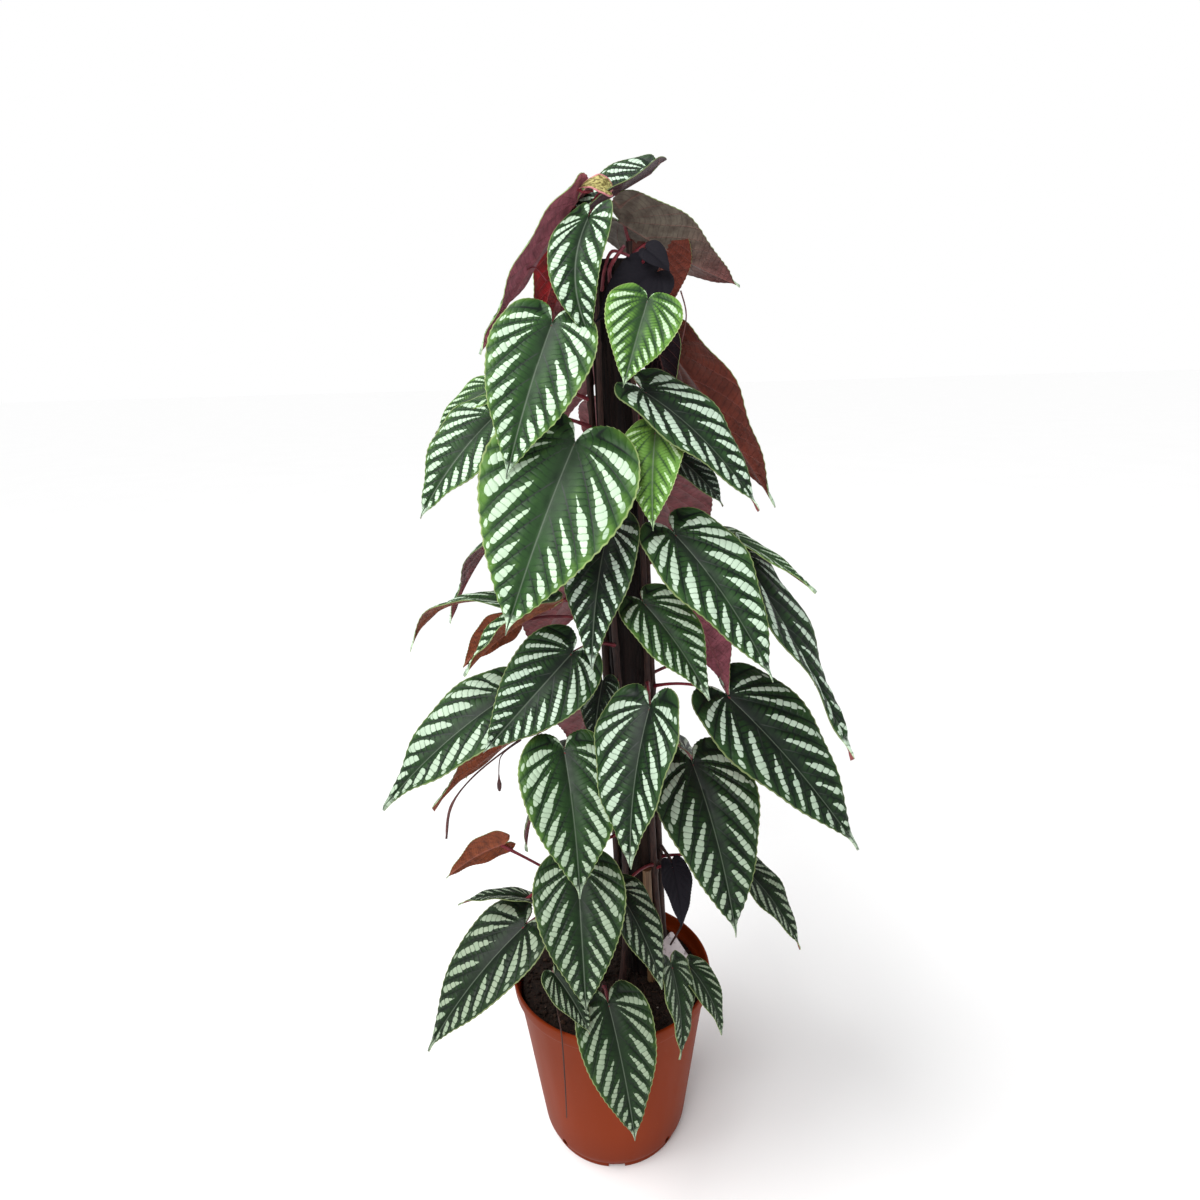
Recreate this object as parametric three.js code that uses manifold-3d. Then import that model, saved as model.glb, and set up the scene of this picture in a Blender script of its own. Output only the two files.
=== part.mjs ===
// Rex begonia vine: silver-banded, heart-leaved shoots on a fibre pole, in a terracotta-coloured nursery pot.
// Units are millimetres and degrees, +Z is up, and the origin is the centre of the pot's underside.
import * as THREE from "three";
import { mergeVertices } from "three/addons/utils/BufferGeometryUtils.js";
import Module from "manifold-3d";

const wasm = await Module();
wasm.setup();

// Driving dimensions
const POT_HEIGHT = 160;
const RIM_RADIUS = 85;
const FOOT_RADIUS = 60;
const WALL = 1.8;
const RIM_BAND = 13;
const FLOOR = 6;
const SOIL_TOP = 148;
const GAP = 0.35;
const SHOULDER_INSET = 4.6;
const FOOT_RING_INSET = 1.6;
const NOTCHES = 4;
const DRAIN_RADIUS = 3;
const DRAIN_HEIGHT = 10.5;
const DRAIN_TILT = 32;
const POT_SIDES = 28;
const POLE_FOOT = new THREE.Vector3(28, 12, SOIL_TOP);
const POLE_HEAD = new THREE.Vector3(11, 8, 728);
const POLE_RADIUS = 14;
const POLE_FURROW = 0.8;
const CANE_RADIUS = 4;
const CANE_TOP = 260;
const STEM_RADIUS = 3;
const STEM_TIP_RADIUS = 1.7;
const STEM_ORBIT = POLE_RADIUS + STEM_RADIUS + 1.6;
const STEM_WAVE = 60;
const STEM_FLARE = 90;
const STEM_STEP = 60;
const FOOT_STEM_RADIUS = 2.2;
const FOOT_STEM_TIP_RADIUS = 1.5;
const PETIOLE_RADIUS = 1.4;
const PETIOLE_TIP_RADIUS = 1;
const PETIOLE_RISE = 0.16;
const BLADE_THICKNESS = 0.8;
const BURIED = 50;

const COLOURS = {
  pot: 0x9a4a2c,
  soil: 0x33261f,
  pole: 0x35241c,
  cane: 0xa98a5b,
  label: 0xf1efe9,
  leaf: 0x2f6a38,
};

const radians = THREE.MathUtils.degToRad;
const mix = THREE.MathUtils.lerp;
const point = (x, y, z) => new THREE.Vector3(x, y, z);

// A repeatable draw between 0 and 1
let seed = 20117;
function draw() {
  seed = (seed * 16807) % 2147483647;
  return seed / 2147483647;
}

// Solids and their joins
function solidOf(geometry) {
  const bare = geometry.clone();
  bare.deleteAttribute("normal");
  bare.deleteAttribute("uv");
  const merged = mergeVertices(bare, 1e-4);
  const shell = new wasm.Mesh({
    numProp: 3,
    vertProperties: merged.attributes.position.array,
    triVerts: new Uint32Array(merged.index.array),
  });
  return new wasm.Manifold(shell);
}

function geometryOf(solid) {
  const { vertProperties, triVerts } = solid.getMesh();
  const geometry = new THREE.BufferGeometry();
  geometry.setAttribute("position", new THREE.BufferAttribute(vertProperties, 3));
  geometry.setIndex(new THREE.BufferAttribute(triVerts, 1));
  geometry.computeVertexNormals();
  return geometry;
}

function indexed(points, triangles) {
  const flat = points.flatMap((p) => [p.x, p.y, p.z]);
  const geometry = new THREE.BufferGeometry();
  geometry.setAttribute("position", new THREE.Float32BufferAttribute(flat, 3));
  geometry.setIndex(triangles.flat());
  return geometry;
}

const joined = (solids) => solids.reduce((all, next) => all.add(next));

// A round rod along a route: its radius may change with the way along it, 0 to 1, and round its section.
function rod(route, radiusAt, sides) {
  const points = [];
  const triangles = [];
  const last = route.length - 1;
  let across = point(1, 0.02, 0.01);
  route.forEach((centre, i) => {
    const along = route[Math.min(i + 1, last)].clone().sub(route[Math.max(i - 1, 0)]).normalize();
    across = across.clone().addScaledVector(along, -across.dot(along)).normalize();
    const beside = along.clone().cross(across);
    for (let k = 0; k < sides; k++) {
      const turn = (2 * Math.PI * k) / sides;
      const radius = radiusAt(i / last, k);
      const spot = centre.clone().addScaledVector(across, radius * Math.cos(turn));
      points.push(spot.addScaledVector(beside, radius * Math.sin(turn)));
    }
  });
  points.push(route[0].clone(), route[last].clone());
  const foot = points.length - 2;
  const head = points.length - 1;
  for (let k = 0; k < sides; k++) {
    const next = (k + 1) % sides;
    for (let i = 0; i < last; i++) {
      const [a, b, c, d] = [i * sides + k, i * sides + next, (i + 1) * sides + next, (i + 1) * sides + k];
      triangles.push([a, b, c], [a, c, d]);
    }
    triangles.push([foot, next, k], [head, last * sides + k, last * sides + next]);
  }
  return indexed(points, triangles);
}

// The leaf blade's margin on one side, from the stalk round the lobe to the tip, as shares of its length and
// width, with the place on the midrib that each margin point is joined to.
const MARGIN = [
  { along: 0, out: 0, rib: 0 },
  { along: -0.1, out: 0.07, rib: 0 },
  { along: -0.13, out: 0.24, rib: 0 },
  { along: -0.03, out: 0.42, rib: 0.02 },
  { along: 0.15, out: 0.5, rib: 0.1 },
  { along: 0.38, out: 0.455, rib: 0.28 },
  { along: 0.6, out: 0.325, rib: 0.5 },
  { along: 0.81, out: 0.145, rib: 0.75 },
  { along: 1, out: 0, rib: 1 },
];
const TOOTH = 0.018;
const NARROW = 0.2;
const HALFWAY = 0.55;
const HOOK_CREST = 2.6;
const CUP_DEPTH = 0.1;

// A blade's place and shape: where its stalk joins it, the heading, drop and roll of its midrib,
// its length and width, how far it arches, folds up, hooks, twists and swings, how far it stands
// above the foot of its stalk, and how much the stalk arches.
function blade(at, [heading, drop, roll], [length, width], shape = {}) {
  const bends = { arch: 0.07, fold: 0.16, cup: 0.2, hook: 0, twist: 0, swing: 0 };
  const stalk = { rise: 12, lift: 1 };
  return { at: point(...at), heading, drop, roll, length, width, ...bends, ...stalk, ...shape };
}

function bladeFrame({ heading, drop, roll }) {
  const flat = Math.cos(radians(drop));
  const turn = radians(heading);
  const along = point(flat * Math.cos(turn), flat * Math.sin(turn), -Math.sin(radians(drop)));
  const level = along.clone().cross(point(0, 0, 1)).normalize();
  const up = level.clone().cross(along).applyAxisAngle(along, radians(roll));
  return { along, up, across: up.clone().cross(along) };
}

// The height of a blade's mid-surface over its chord, and its sideways swing, in millimetres
function bladeSpot(leaf, frame, along, out) {
  const { length, width, arch, fold, cup, hook, twist, swing } = leaf;
  const bow = 4 * along * (1 - along);
  const side = out * width;
  let height = length * (arch * bow + hook * HOOK_CREST * (along - along ** 3));
  height += Math.abs(side) * fold - cup * (2 * out) ** 2 * CUP_DEPTH * width;
  height += side * Math.tan(radians(twist * along));
  return leaf.at
    .clone()
    .addScaledVector(frame.along, along * length)
    .addScaledVector(frame.across, side + swing * length * bow)
    .addScaledVector(frame.up, height);
}

function bladeSolid(leaf) {
  const frame = bladeFrame(leaf);
  const points = [];
  const triangles = [];
  const place = (along, out) => {
    const spot = bladeSpot(leaf, frame, along, out);
    points.push(spot.clone().addScaledVector(frame.up, BLADE_THICKNESS / 2));
    points.push(spot.addScaledVector(frame.up, -BLADE_THICKNESS / 2));
    return points.length - 2;
  };
  const skin = (a, b, c) => {
    if (a === b || b === c || a === c) return;
    triangles.push([a, b, c], [a + 1, c + 1, b + 1]);
  };
  const ribs = new Map();
  for (const { rib } of MARGIN) if (!ribs.has(rib)) ribs.set(rib, place(rib, 0));
  for (const side of [1, -1]) {
    const rows = MARGIN.map(({ along, out, rib }, i) => {
      const middle = ribs.get(rib);
      if (!out) return [middle, middle, middle];
      const edge = out + (i % 2 ? TOOTH : 0);
      const inner = edge > NARROW ? place(mix(rib, along, HALFWAY), side * edge * HALFWAY) : middle;
      return [middle, inner, place(along, side * edge)];
    });
    const face = side > 0 ? skin : (a, b, c) => skin(a, c, b);
    for (let i = 0; i + 1 < rows.length; i++) {
      const [a, b] = [rows[i], rows[i + 1]];
      for (const k of [0, 1]) {
        face(a[k], b[k], b[k + 1]);
        face(a[k], b[k + 1], a[k + 1]);
      }
      const wall = side > 0 ? [a[2], b[2]] : [b[2], a[2]];
      triangles.push([wall[0], wall[1], wall[1] + 1], [wall[0], wall[1] + 1, wall[0] + 1]);
    }
  }
  return solidOf(indexed(points, triangles));
}

// The pole's axis at a height, and a stem's way up beside it
const poleAxis = (z) => POLE_FOOT.clone().lerp(POLE_HEAD, (z - POLE_FOOT.z) / (POLE_HEAD.z - POLE_FOOT.z));

function beside(azimuth, orbit, z) {
  const turn = radians(azimuth);
  return poleAxis(z).add(point(orbit * Math.cos(turn), orbit * Math.sin(turn), 0));
}

function stemSpot({ azimuth, sway, spread }, z) {
  const turned = azimuth + sway * Math.sin((z - SOIL_TOP) / STEM_WAVE + azimuth);
  const flare = Math.max(0, 1 - (z - SOIL_TOP) / STEM_FLARE);
  return beside(turned, STEM_ORBIT + spread * flare * flare, Math.max(z, SOIL_TOP)).setZ(z);
}

function stemRoute(stem) {
  const route = [stemSpot(stem, SOIL_TOP).setZ(SOIL_TOP - BURIED)];
  for (let z = SOIL_TOP; z < stem.top; z += STEM_STEP) route.push(stemSpot(stem, z));
  route.push(stemSpot(stem, stem.top));
  return route;
}

// A leaf stalk from the stem, out and a little up, to a few millimetres under the blade's heart
function petioleSolid(start, leaf) {
  const frame = bladeFrame(leaf);
  const end = leaf.at.clone().addScaledVector(frame.along, 3).addScaledVector(frame.up, 0.2);
  const arch = leaf.lift * PETIOLE_RISE * start.distanceTo(leaf.at);
  const crest = start.clone().lerp(leaf.at, 0.6).add(point(0, 0, arch));
  const bow = new THREE.QuadraticBezierCurve3(start, crest, end);
  return solidOf(rod(bow.getPoints(3), (t) => mix(PETIOLE_RADIUS, PETIOLE_TIP_RADIUS, t), 4));
}

// A tendril or hanging root, thin all along, with a swollen end where it has one
function tendrilSolid({ points, thickness, swelling = 1 }) {
  const way = new THREE.CatmullRomCurve3(points.map((p) => point(...p))).getPoints(2 * points.length);
  return solidOf(rod(way, (t) => (thickness / 2) * (t > 0.8 ? swelling : 1), 4));
}

function shootSolid(stem, leaves, tendrils = []) {
  const route = stemRoute(stem);
  const solids = [solidOf(rod(route, (t) => mix(STEM_RADIUS, STEM_TIP_RADIUS, t), 6))];
  for (const leaf of leaves) {
    const height = Math.min(leaf.at.z - leaf.rise, stem.top - 3);
    solids.push(petioleSolid(stemSpot(stem, height), leaf), bladeSolid(leaf));
  }
  return joined([...solids, ...tendrils.map(tendrilSolid)]);
}

// The climbing stems: where each stands round the pole, how it sways, how far its foot spreads, and its top
const STEMS = {
  front_left_shoot: { azimuth: -122, sway: 5, spread: 16, top: 752 },
  front_right_shoot: { azimuth: -42, sway: 5, spread: 8, top: 700 },
  left_shoot: { azimuth: -162, sway: 5, spread: 22, top: 752 },
  right_shoot: { azimuth: -2, sway: 5, spread: 2, top: 640 },
  right_back_shoot: { azimuth: 38, sway: 4, spread: 4, top: 742 },
  back_shoot: { azimuth: 82, sway: 5, spread: 12, top: 715 },
  left_back_shoot: { azimuth: 150, sway: 5, spread: 20, top: 738 },
};

// The leaves that face the front and the sides, shoot by shoot, from the top down
const LEAVES = {
  front_left_shoot: [
    blade([-2, -38, 746], [-80, 76, 20], [80, 36], { twist: -25, swing: -0.12 }),
    blade([-26, -50, 685], [-133, 64, -36], [103, 67]),
    blade([-14, -62, 612], [-140, 62, -42], [131, 98]),
    blade([6, -48, 553], [-110, 66, 6], [96, 53]),
    blade([-21, -52, 466], [-157, 42, -60], [93, 60]),
    blade([-1, -36, 437], [-118, 72, -8], [48, 30]),
    blade([-29, -70, 400], [-79, 62, -7], [100, 71]),
    blade([-23, -70, 304], [-85, 58, 1], [97, 67]),
  ],
  front_right_shoot: [
    blade([35, -28, 729], [-10, 44, 60], [21, 17]),
    blade([42, -20, 716], [-168, 36, -70], [52, 36]),
    blade([34, -50, 697], [-125, 60, -35], [60, 48]),
    blade([31, -45, 642], [-19, 45, 25], [108, 60]),
    blade([38, -52, 617], [-98, 64, 10], [67, 42]),
    blade([29, -52, 501], [-35, 50, 23], [80, 51]),
    blade([31, -74, 433], [-113, 68, 16], [110, 66], { fold: 0.3 }),
    blade([7, -52, 271], [-50, 52, -8], [77, 44]),
    blade([52, -14, 266], [-78, 62, -20], [50, 28]),
  ],
  left_shoot: [
    blade([39, -4, 778], [-166, 29, -17], [74, 42], { fold: 0.5, arch: 0 }),
    blade([12, -27, 764], [178, -4, -50], [19, 16], { arch: 0.2 }),
    blade([-10, -20, 759], [-174, 54, 13], [113, 48], { arch: 0.02 }),
    blade([-68, -10, 647], [-173, 35, -33], [54, 32]),
    blade([-68, -31, 628], [-151, 48, -34], [85, 52]),
    blade([-34, -55, 501], [-172, 36, 2], [78, 44], { fold: 0.5 }),
    blade([-67, -30, 481], [-169, 40, 71], [46, 30]),
    blade([-59, -20, 493], [-179, 22, -2], [90, 52], { hook: 0.16, twist: 28 }),
    blade([-71, -30, 426], [-163, 38, -27], [124, 64]),
    blade([-25, -15, 407], [-167, 32, 41], [130, 72]),
    blade([-38, 10, 352], [178, 70, 0], [92, 56]),
    blade([-79, -45, 311], [-163, 24, 74], [50, 30], { rise: 100, lift: 0 }),
    blade([-62, -50, 264], [-178, 2, 18], [55, 30], { arch: 0.08 }),
    blade([-66, -58, 246], [-153, 44, -13], [115, 66]),
  ],
  right_shoot: [
    blade([49, -20, 601], [-29, 42, 23], [55, 34]),
    blade([50, -52, 549], [-38, 50, 23], [118, 66]),
    blade([61, -10, 490], [-46, 56, -89], [77, 46]),
    blade([90, -40, 425], [-34, 43, 21], [138, 80], { arch: 0.05 }),
    blade([64, -46, 375], [-70, 56, -1], [123, 79]),
    blade([66, 18, 352], [8, 68, 0], [92, 56]),
    blade([108, -25, 270], [-39, 46, -5], [74, 40]),
  ],
  right_back_shoot: [
    blade([20, 8, 751], [18, 24, -21], [99, 66], { arch: -0.02 }),
    blade([42, 14, 741], [58, 62, -3], [52, 48]),
    blade([38, 14, 687], [-61, 66, -105], [63, 38]),
    blade([55, 32, 670], [-10, 56, -34], [142, 70], { arch: 0.02 }),
    blade([92, 10, 535], [-31, 27, -8], [82, 44], { arch: 0.03 }),
    blade([105, -4, 521], [-49, 52, -20], [164, 72], { arch: 0.02 }),
  ],
  left_back_shoot: [blade([-14, 24, 746], [-177, 71, 34], [74, 44])],
  back_shoot: [],
};

// The far side's leaves follow one rule: down each shoot they swing left and right and grow longer.
const FAR_SIDE = {
  right_back_shoot: { middle: 40, swing: -26, tops: [575, 430, 330] },
  back_shoot: { middle: 96, swing: -14, tops: [700, 625, 540, 462, 382, 300] },
  left_back_shoot: { middle: 146, swing: 20, tops: [664, 574, 490, 404, 310] },
};
const FAR_REACH = 46;
const FAR_REACH_GAIN = 26;
const FAR_LENGTH = 88;
const FAR_LENGTH_GAIN = 46;
const FAR_DROP = 56;
const LEAF_SHAPE = 0.62;

for (const [name, { middle, swing, tops }] of Object.entries(FAR_SIDE)) {
  tops.forEach((z, i) => {
    const heading = middle + (i % 2 ? swing : -swing) + 8 * (draw() - 0.5);
    const low = (POLE_HEAD.z - z) / (POLE_HEAD.z - SOIL_TOP);
    const gain = FAR_LENGTH_GAIN * Math.sin(Math.PI * Math.min(1, 0.15 + low));
    const length = FAR_LENGTH + gain + 10 * draw();
    const at = beside(heading, FAR_REACH + FAR_REACH_GAIN * low + 8 * draw(), z);
    const turned = [heading + 10 * (draw() - 0.5), FAR_DROP - 12 * draw(), 16 * (draw() - 0.5)];
    LEAVES[name].push(blade(at.toArray(), turned, [length, LEAF_SHAPE * length]));
  });
}

// Tendrils hang free at the left, from the stem out between the leaves.
const TENDRILS = {
  left_shoot: [
    {
      points: [
        [2, 4, 408], [-43, -20, 399], [-77, -25, 378], [-104, -30, 357], [-120, -34, 336], [-125, -36, 310],
      ],
      thickness: 1.6,
      swelling: 1.7,
    },
    {
      points: [[-64, -24, 386], [-78, -25, 376], [-82, -25, 366], [-83, -25, 344]],
      thickness: 1,
      swelling: 4,
    },
  ],
};

// Short shoots at the plant's foot: each stands in the soil and carries its own few leaves.
const FOOT_SHOOTS = {
  foot_shoot_front: {
    route: [[-8, -44, 0], [-8, -48, 24], [-6, -62, 46]],
    leaves: [blade([-3, -86, 197], [-68, 62, 3], [96, 60])],
  },
  foot_shoot_left: {
    route: [[-44, -34, 0], [-46, -38, 22], [-48, -48, 44]],
    leaves: [blade([-42, -87, 226], [-41, 46, 3], [48, 31])],
    roots: [
      {
        points: [[-46, -38, 168], [-44, -64, 176], [-40, -79, 162], [-39, -81, 120], [-39, -81, 82]],
        thickness: 1.2,
      },
    ],
  },
  foot_shoot_right: {
    route: [[50, -36, 0], [50, -38, 22], [50, -42, 44]],
    leaves: [
      blade([47, -60, 208], [-84, 62, -45], [68, 38]),
      blade([63, -45, 193], [-51, 50, -10], [55, 30], { arch: 0.12 }),
    ],
  },
};

function footShootSolid({ route, leaves, roots = [] }) {
  const way = route.map(([x, y, rise]) => point(x, y, SOIL_TOP + rise));
  const buried = point(way[0].x, way[0].y, SOIL_TOP - BURIED);
  const curve = new THREE.CatmullRomCurve3(way);
  const radius = (t) => mix(FOOT_STEM_RADIUS, FOOT_STEM_TIP_RADIUS, t);
  const stem = rod([buried, ...curve.getPoints(4)], radius, 6);
  const crown = way[way.length - 1].clone().add(point(0, 0, -3));
  const solids = leaves.flatMap((leaf) => [petioleSolid(crown, leaf), bladeSolid(leaf)]);
  return joined([solidOf(stem), ...solids, ...roots.map(tendrilSolid)]);
}

// Pot: one moulded shell with a rolled rim, a foot ring, a centre pad that it stands on, and drain holes
function potSolid() {
  const shoulder = RIM_RADIUS - SHOULDER_INSET;
  const ring = FOOT_RADIUS - FOOT_RING_INSET;
  const below = POT_HEIGHT - RIM_BAND;
  const inner = [
    [0, FLOOR],
    [FOOT_RADIUS - 5, FLOOR + 0.4],
    [FOOT_RADIUS - 0.6, FLOOR + 3],
    [FOOT_RADIUS + 1.7, FLOOR + 11],
    [shoulder - WALL, below - 2],
    [RIM_RADIUS - 3.2, below + 1.6],
    [RIM_RADIUS - 2.6, POT_HEIGHT - 1],
  ];
  const outer = [
    [RIM_RADIUS - 1.6, POT_HEIGHT],
    [RIM_RADIUS - 0.4, POT_HEIGHT - 0.5],
    [RIM_RADIUS, POT_HEIGHT - 2],
    [RIM_RADIUS - 0.9, below + 2],
    [RIM_RADIUS - 1.8, below],
    [shoulder, below - 0.8],
    [FOOT_RADIUS + 3.6, 17],
    [FOOT_RADIUS + 2.4, 10.5],
    [FOOT_RADIUS, 6.4],
    [ring, 5],
    [ring, 0],
    [FOOT_RADIUS - 4.2, 0],
    [FOOT_RADIUS - 5, 3],
    [24, 3],
    [22, 0],
    [0, 0],
  ];
  const profile = [...inner, ...outer].map(([r, z]) => new THREE.Vector2(r, z)).reverse();
  let pot = solidOf(new THREE.LatheGeometry(profile, POT_SIDES).rotateX(Math.PI / 2));
  const notch = new THREE.BoxGeometry(16, 14, 7.4);
  const drain = new THREE.CylinderGeometry(DRAIN_RADIUS, DRAIN_RADIUS, 16, 8);
  drain.rotateZ(radians(90 - DRAIN_TILT));
  for (let i = 0; i < NOTCHES; i++) {
    const turn = (2 * Math.PI * i) / NOTCHES - Math.PI / 2;
    const cut = notch.clone().translate(FOOT_RADIUS - 2, 0, 0).rotateZ(turn);
    const hole = drain.clone().translate(FOOT_RADIUS, 0, DRAIN_HEIGHT).rotateZ(turn + Math.PI / NOTCHES);
    pot = pot.subtract(solidOf(cut)).subtract(solidOf(hole));
  }
  return pot;
}

// Soil: a crumbly filling up to just under the rim, with a plain hole for all that stands in it
function soilSolid(holes) {
  const rings = 2;
  const shrink = Math.cos(Math.PI / POT_SIDES);
  const edge = mix(FOOT_RADIUS + 1.4, RIM_RADIUS - SHOULDER_INSET - WALL, 0.98) * shrink - 1.2;
  const foot = (FOOT_RADIUS - 1.2) * shrink - GAP;
  const points = [point(0, 0, FLOOR + 1), point(0, 0, SOIL_TOP)];
  const triangles = [];
  const ring = (radius, z, rough) => {
    for (let k = 0; k < POT_SIDES; k++) {
      const turn = (2 * Math.PI * k) / POT_SIDES;
      points.push(point(radius * Math.sin(turn), radius * Math.cos(turn), z + rough * (draw() - 0.5)));
    }
    return points.length - POT_SIDES;
  };
  const levels = [ring(foot - 3, FLOOR + 1, 0), ring(foot + 1, FLOOR + 10, 0), ring(edge, SOIL_TOP - 5, 0)];
  for (let i = rings; i > 0; i--) levels.push(ring((edge - 1) * (i / rings), SOIL_TOP, 3));
  for (let k = 0; k < POT_SIDES; k++) {
    const next = (k + 1) % POT_SIDES;
    for (let i = 0; i + 1 < levels.length; i++) {
      const [a, b] = [levels[i], levels[i + 1]];
      triangles.push([a + k, b + next, a + next], [a + k, b + k, b + next]);
    }
    triangles.push([0, levels[0] + k, levels[0] + next]);
    triangles.push([1, levels[levels.length - 1] + next, levels[levels.length - 1] + k]);
  }
  return holes.reduce((soil, hole) => soil.subtract(hole), solidOf(indexed(points, triangles)));
}

const plainHole = (centre, radius, depth) => {
  const bore = new THREE.CylinderGeometry(radius, radius, depth + 20, 8).rotateX(Math.PI / 2);
  return solidOf(bore.translate(centre.x, centre.y, SOIL_TOP + 10 - depth / 2));
};

// Pole: a fibre-wrapped stake with vertical furrows, leaning as one straight piece
const POLE_DEPTH = 100;

function poleRod(radius) {
  const lean = POLE_HEAD.clone().sub(POLE_FOOT).normalize();
  return rod([POLE_FOOT.clone().addScaledVector(lean, -POLE_DEPTH), POLE_FOOT, POLE_HEAD], radius, 16);
}

const CANE_AZIMUTH = -70;
const CANE_DEPTH = 90;
const CANE_STEP = 50;
const CANE_NODE = 0.35;
const CANE_ORBIT = POLE_RADIUS + POLE_FURROW + CANE_RADIUS + 0.5;

function caneRod(extra) {
  const route = [];
  for (let z = SOIL_TOP - CANE_DEPTH; z <= CANE_TOP; z += CANE_STEP) {
    route.push(beside(CANE_AZIMUTH, CANE_ORBIT, z));
  }
  const node = (t) => (Math.round(t * (route.length - 1)) % 3 === 1 ? CANE_NODE : 0);
  return rod(route, (t) => CANE_RADIUS - CANE_NODE + node(t) + extra, 8);
}

// Label: a plain tag with a pointed foot, at the pot's right, that leans left
const LABEL = {
  width: 20,
  height: 51,
  point: 8,
  thickness: 0.9,
  foot: point(69.5, -15, 150),
  lean: 29,
  turn: 37,
};

function labelBoard(extra) {
  const half = LABEL.width / 2 + extra;
  const top = LABEL.height + extra;
  const tip = -LABEL.point - 1.5 * extra;
  const corners = [[half, top], [-half, top], [-half, 0], [0, tip], [half, 0]];
  const outline = new THREE.Shape(corners.map(([x, y]) => new THREE.Vector2(x, y)));
  const thick = LABEL.thickness + 2 * extra;
  const board = new THREE.ExtrudeGeometry(outline, { depth: thick, bevelEnabled: false });
  board.translate(0, 0, -thick / 2).rotateX(Math.PI / 2);
  board.rotateZ(radians(LABEL.turn)).rotateY(-radians(LABEL.lean));
  return board.translate(...LABEL.foot.toArray());
}

// The plant
const part = new THREE.Group();
const addPiece = (name, solid, colour, roughness) => {
  const material = new THREE.MeshStandardMaterial({ color: colour, roughness, metalness: 0 });
  const mesh = new THREE.Mesh(geometryOf(solid), material);
  mesh.name = name;
  part.add(mesh);
};

const stemHoles = Object.values(STEMS).map((stem) =>
  plainHole(stemSpot(stem, SOIL_TOP), STEM_RADIUS + GAP, BURIED + 2),
);
const footHoles = Object.values(FOOT_SHOOTS).map(({ route }) =>
  plainHole(point(...route[0]), FOOT_STEM_RADIUS + GAP, BURIED + 2),
);
const poleHole = solidOf(poleRod(() => POLE_RADIUS + POLE_FURROW + GAP));

addPiece("nursery_pot", potSolid(), COLOURS.pot, 0.5);
addPiece(
  "potting_soil",
  soilSolid([...stemHoles, ...footHoles, poleHole, solidOf(caneRod(GAP)), solidOf(labelBoard(GAP))]),
  COLOURS.soil,
  0.95,
);
addPiece(
  "climbing_pole",
  solidOf(poleRod((t, k) => POLE_RADIUS + (k % 2 ? POLE_FURROW : -POLE_FURROW))),
  COLOURS.pole,
  0.9,
);
addPiece("bamboo_cane", solidOf(caneRod(0)), COLOURS.cane, 0.6);
addPiece("plant_label", solidOf(labelBoard(0)), COLOURS.label, 0.6);
for (const [name, stem] of Object.entries(STEMS)) {
  addPiece(name, shootSolid(stem, LEAVES[name], TENDRILS[name]), COLOURS.leaf, 0.5);
}
for (const [name, shoot] of Object.entries(FOOT_SHOOTS)) {
  addPiece(name, footShootSolid(shoot), COLOURS.leaf, 0.5);
}

export default part;
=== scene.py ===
# Rex begonia vine: silver-banded, heart-leaved shoots on a fibre pole in a terracotta-coloured pot.
# Sizes and places are in millimetres and degrees until a mesh is made, which is in metres. +Z is up,
# and the origin is the centre of the pot's underside.
import math
import random

import bmesh
import bpy
import numpy as np
from mathutils import Matrix, Vector, noise


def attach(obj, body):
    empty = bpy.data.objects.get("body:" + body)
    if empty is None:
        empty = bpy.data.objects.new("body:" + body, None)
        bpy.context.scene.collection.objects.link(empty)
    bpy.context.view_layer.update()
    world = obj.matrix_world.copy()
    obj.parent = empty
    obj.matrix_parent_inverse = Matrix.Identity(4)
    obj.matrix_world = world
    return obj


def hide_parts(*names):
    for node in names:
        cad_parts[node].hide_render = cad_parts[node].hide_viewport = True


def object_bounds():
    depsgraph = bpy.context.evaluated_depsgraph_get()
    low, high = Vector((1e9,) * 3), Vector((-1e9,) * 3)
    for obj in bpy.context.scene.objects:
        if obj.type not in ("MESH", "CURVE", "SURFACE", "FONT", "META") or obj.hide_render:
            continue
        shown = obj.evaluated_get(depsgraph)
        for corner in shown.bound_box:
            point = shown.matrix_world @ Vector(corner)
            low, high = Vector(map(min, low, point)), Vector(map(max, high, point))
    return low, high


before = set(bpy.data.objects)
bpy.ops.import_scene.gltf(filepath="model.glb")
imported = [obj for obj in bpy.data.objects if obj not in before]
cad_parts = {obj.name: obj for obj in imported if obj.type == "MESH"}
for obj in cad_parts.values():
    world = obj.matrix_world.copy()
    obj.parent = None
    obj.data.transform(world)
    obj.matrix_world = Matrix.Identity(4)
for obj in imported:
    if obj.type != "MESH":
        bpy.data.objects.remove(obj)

cad_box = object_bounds()

MM = 0.001
FULL = 2 * math.pi

# Driving dimensions, as in the solids
POT_HEIGHT = 160
RIM_RADIUS = 85
FOOT_RADIUS = 60
WALL = 1.8
RIM_BAND = 13
FLOOR = 6
SOIL_TOP = 148
POLE_FOOT = np.array([28.0, 12.0, SOIL_TOP])
POLE_HEAD = np.array([11.0, 8.0, 728.0])
POLE_RADIUS = 14
POLE_FURROW = 0.8
POLE_DEPTH = 100
CANE_RADIUS = 4
CANE_TOP = 260
CANE_AZIMUTH = -70
CANE_DEPTH = 90
CANE_ORBIT = POLE_RADIUS + POLE_FURROW + CANE_RADIUS + 0.5
CANE_STEP = 50
CANE_JOINTS = range(50, 500, 150)
STEM_RADIUS = 3
STEM_TIP_RADIUS = 1.7
STEM_ORBIT = POLE_RADIUS + STEM_RADIUS + 1.6
STEM_WAVE = 60
STEM_FLARE = 90
STEM_STEP = 4
PETIOLE_RADIUS = 1.35
PETIOLE_TIP_RADIUS = 1
PETIOLE_RISE = 0.16
BLADE_THICKNESS = 0.5
EDGE_MARGIN = 0.05
BURIED = 50
NOTCHES = 4
SHOULDER_INSET = 4.6
DRAIN_RADIUS = 3
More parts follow.
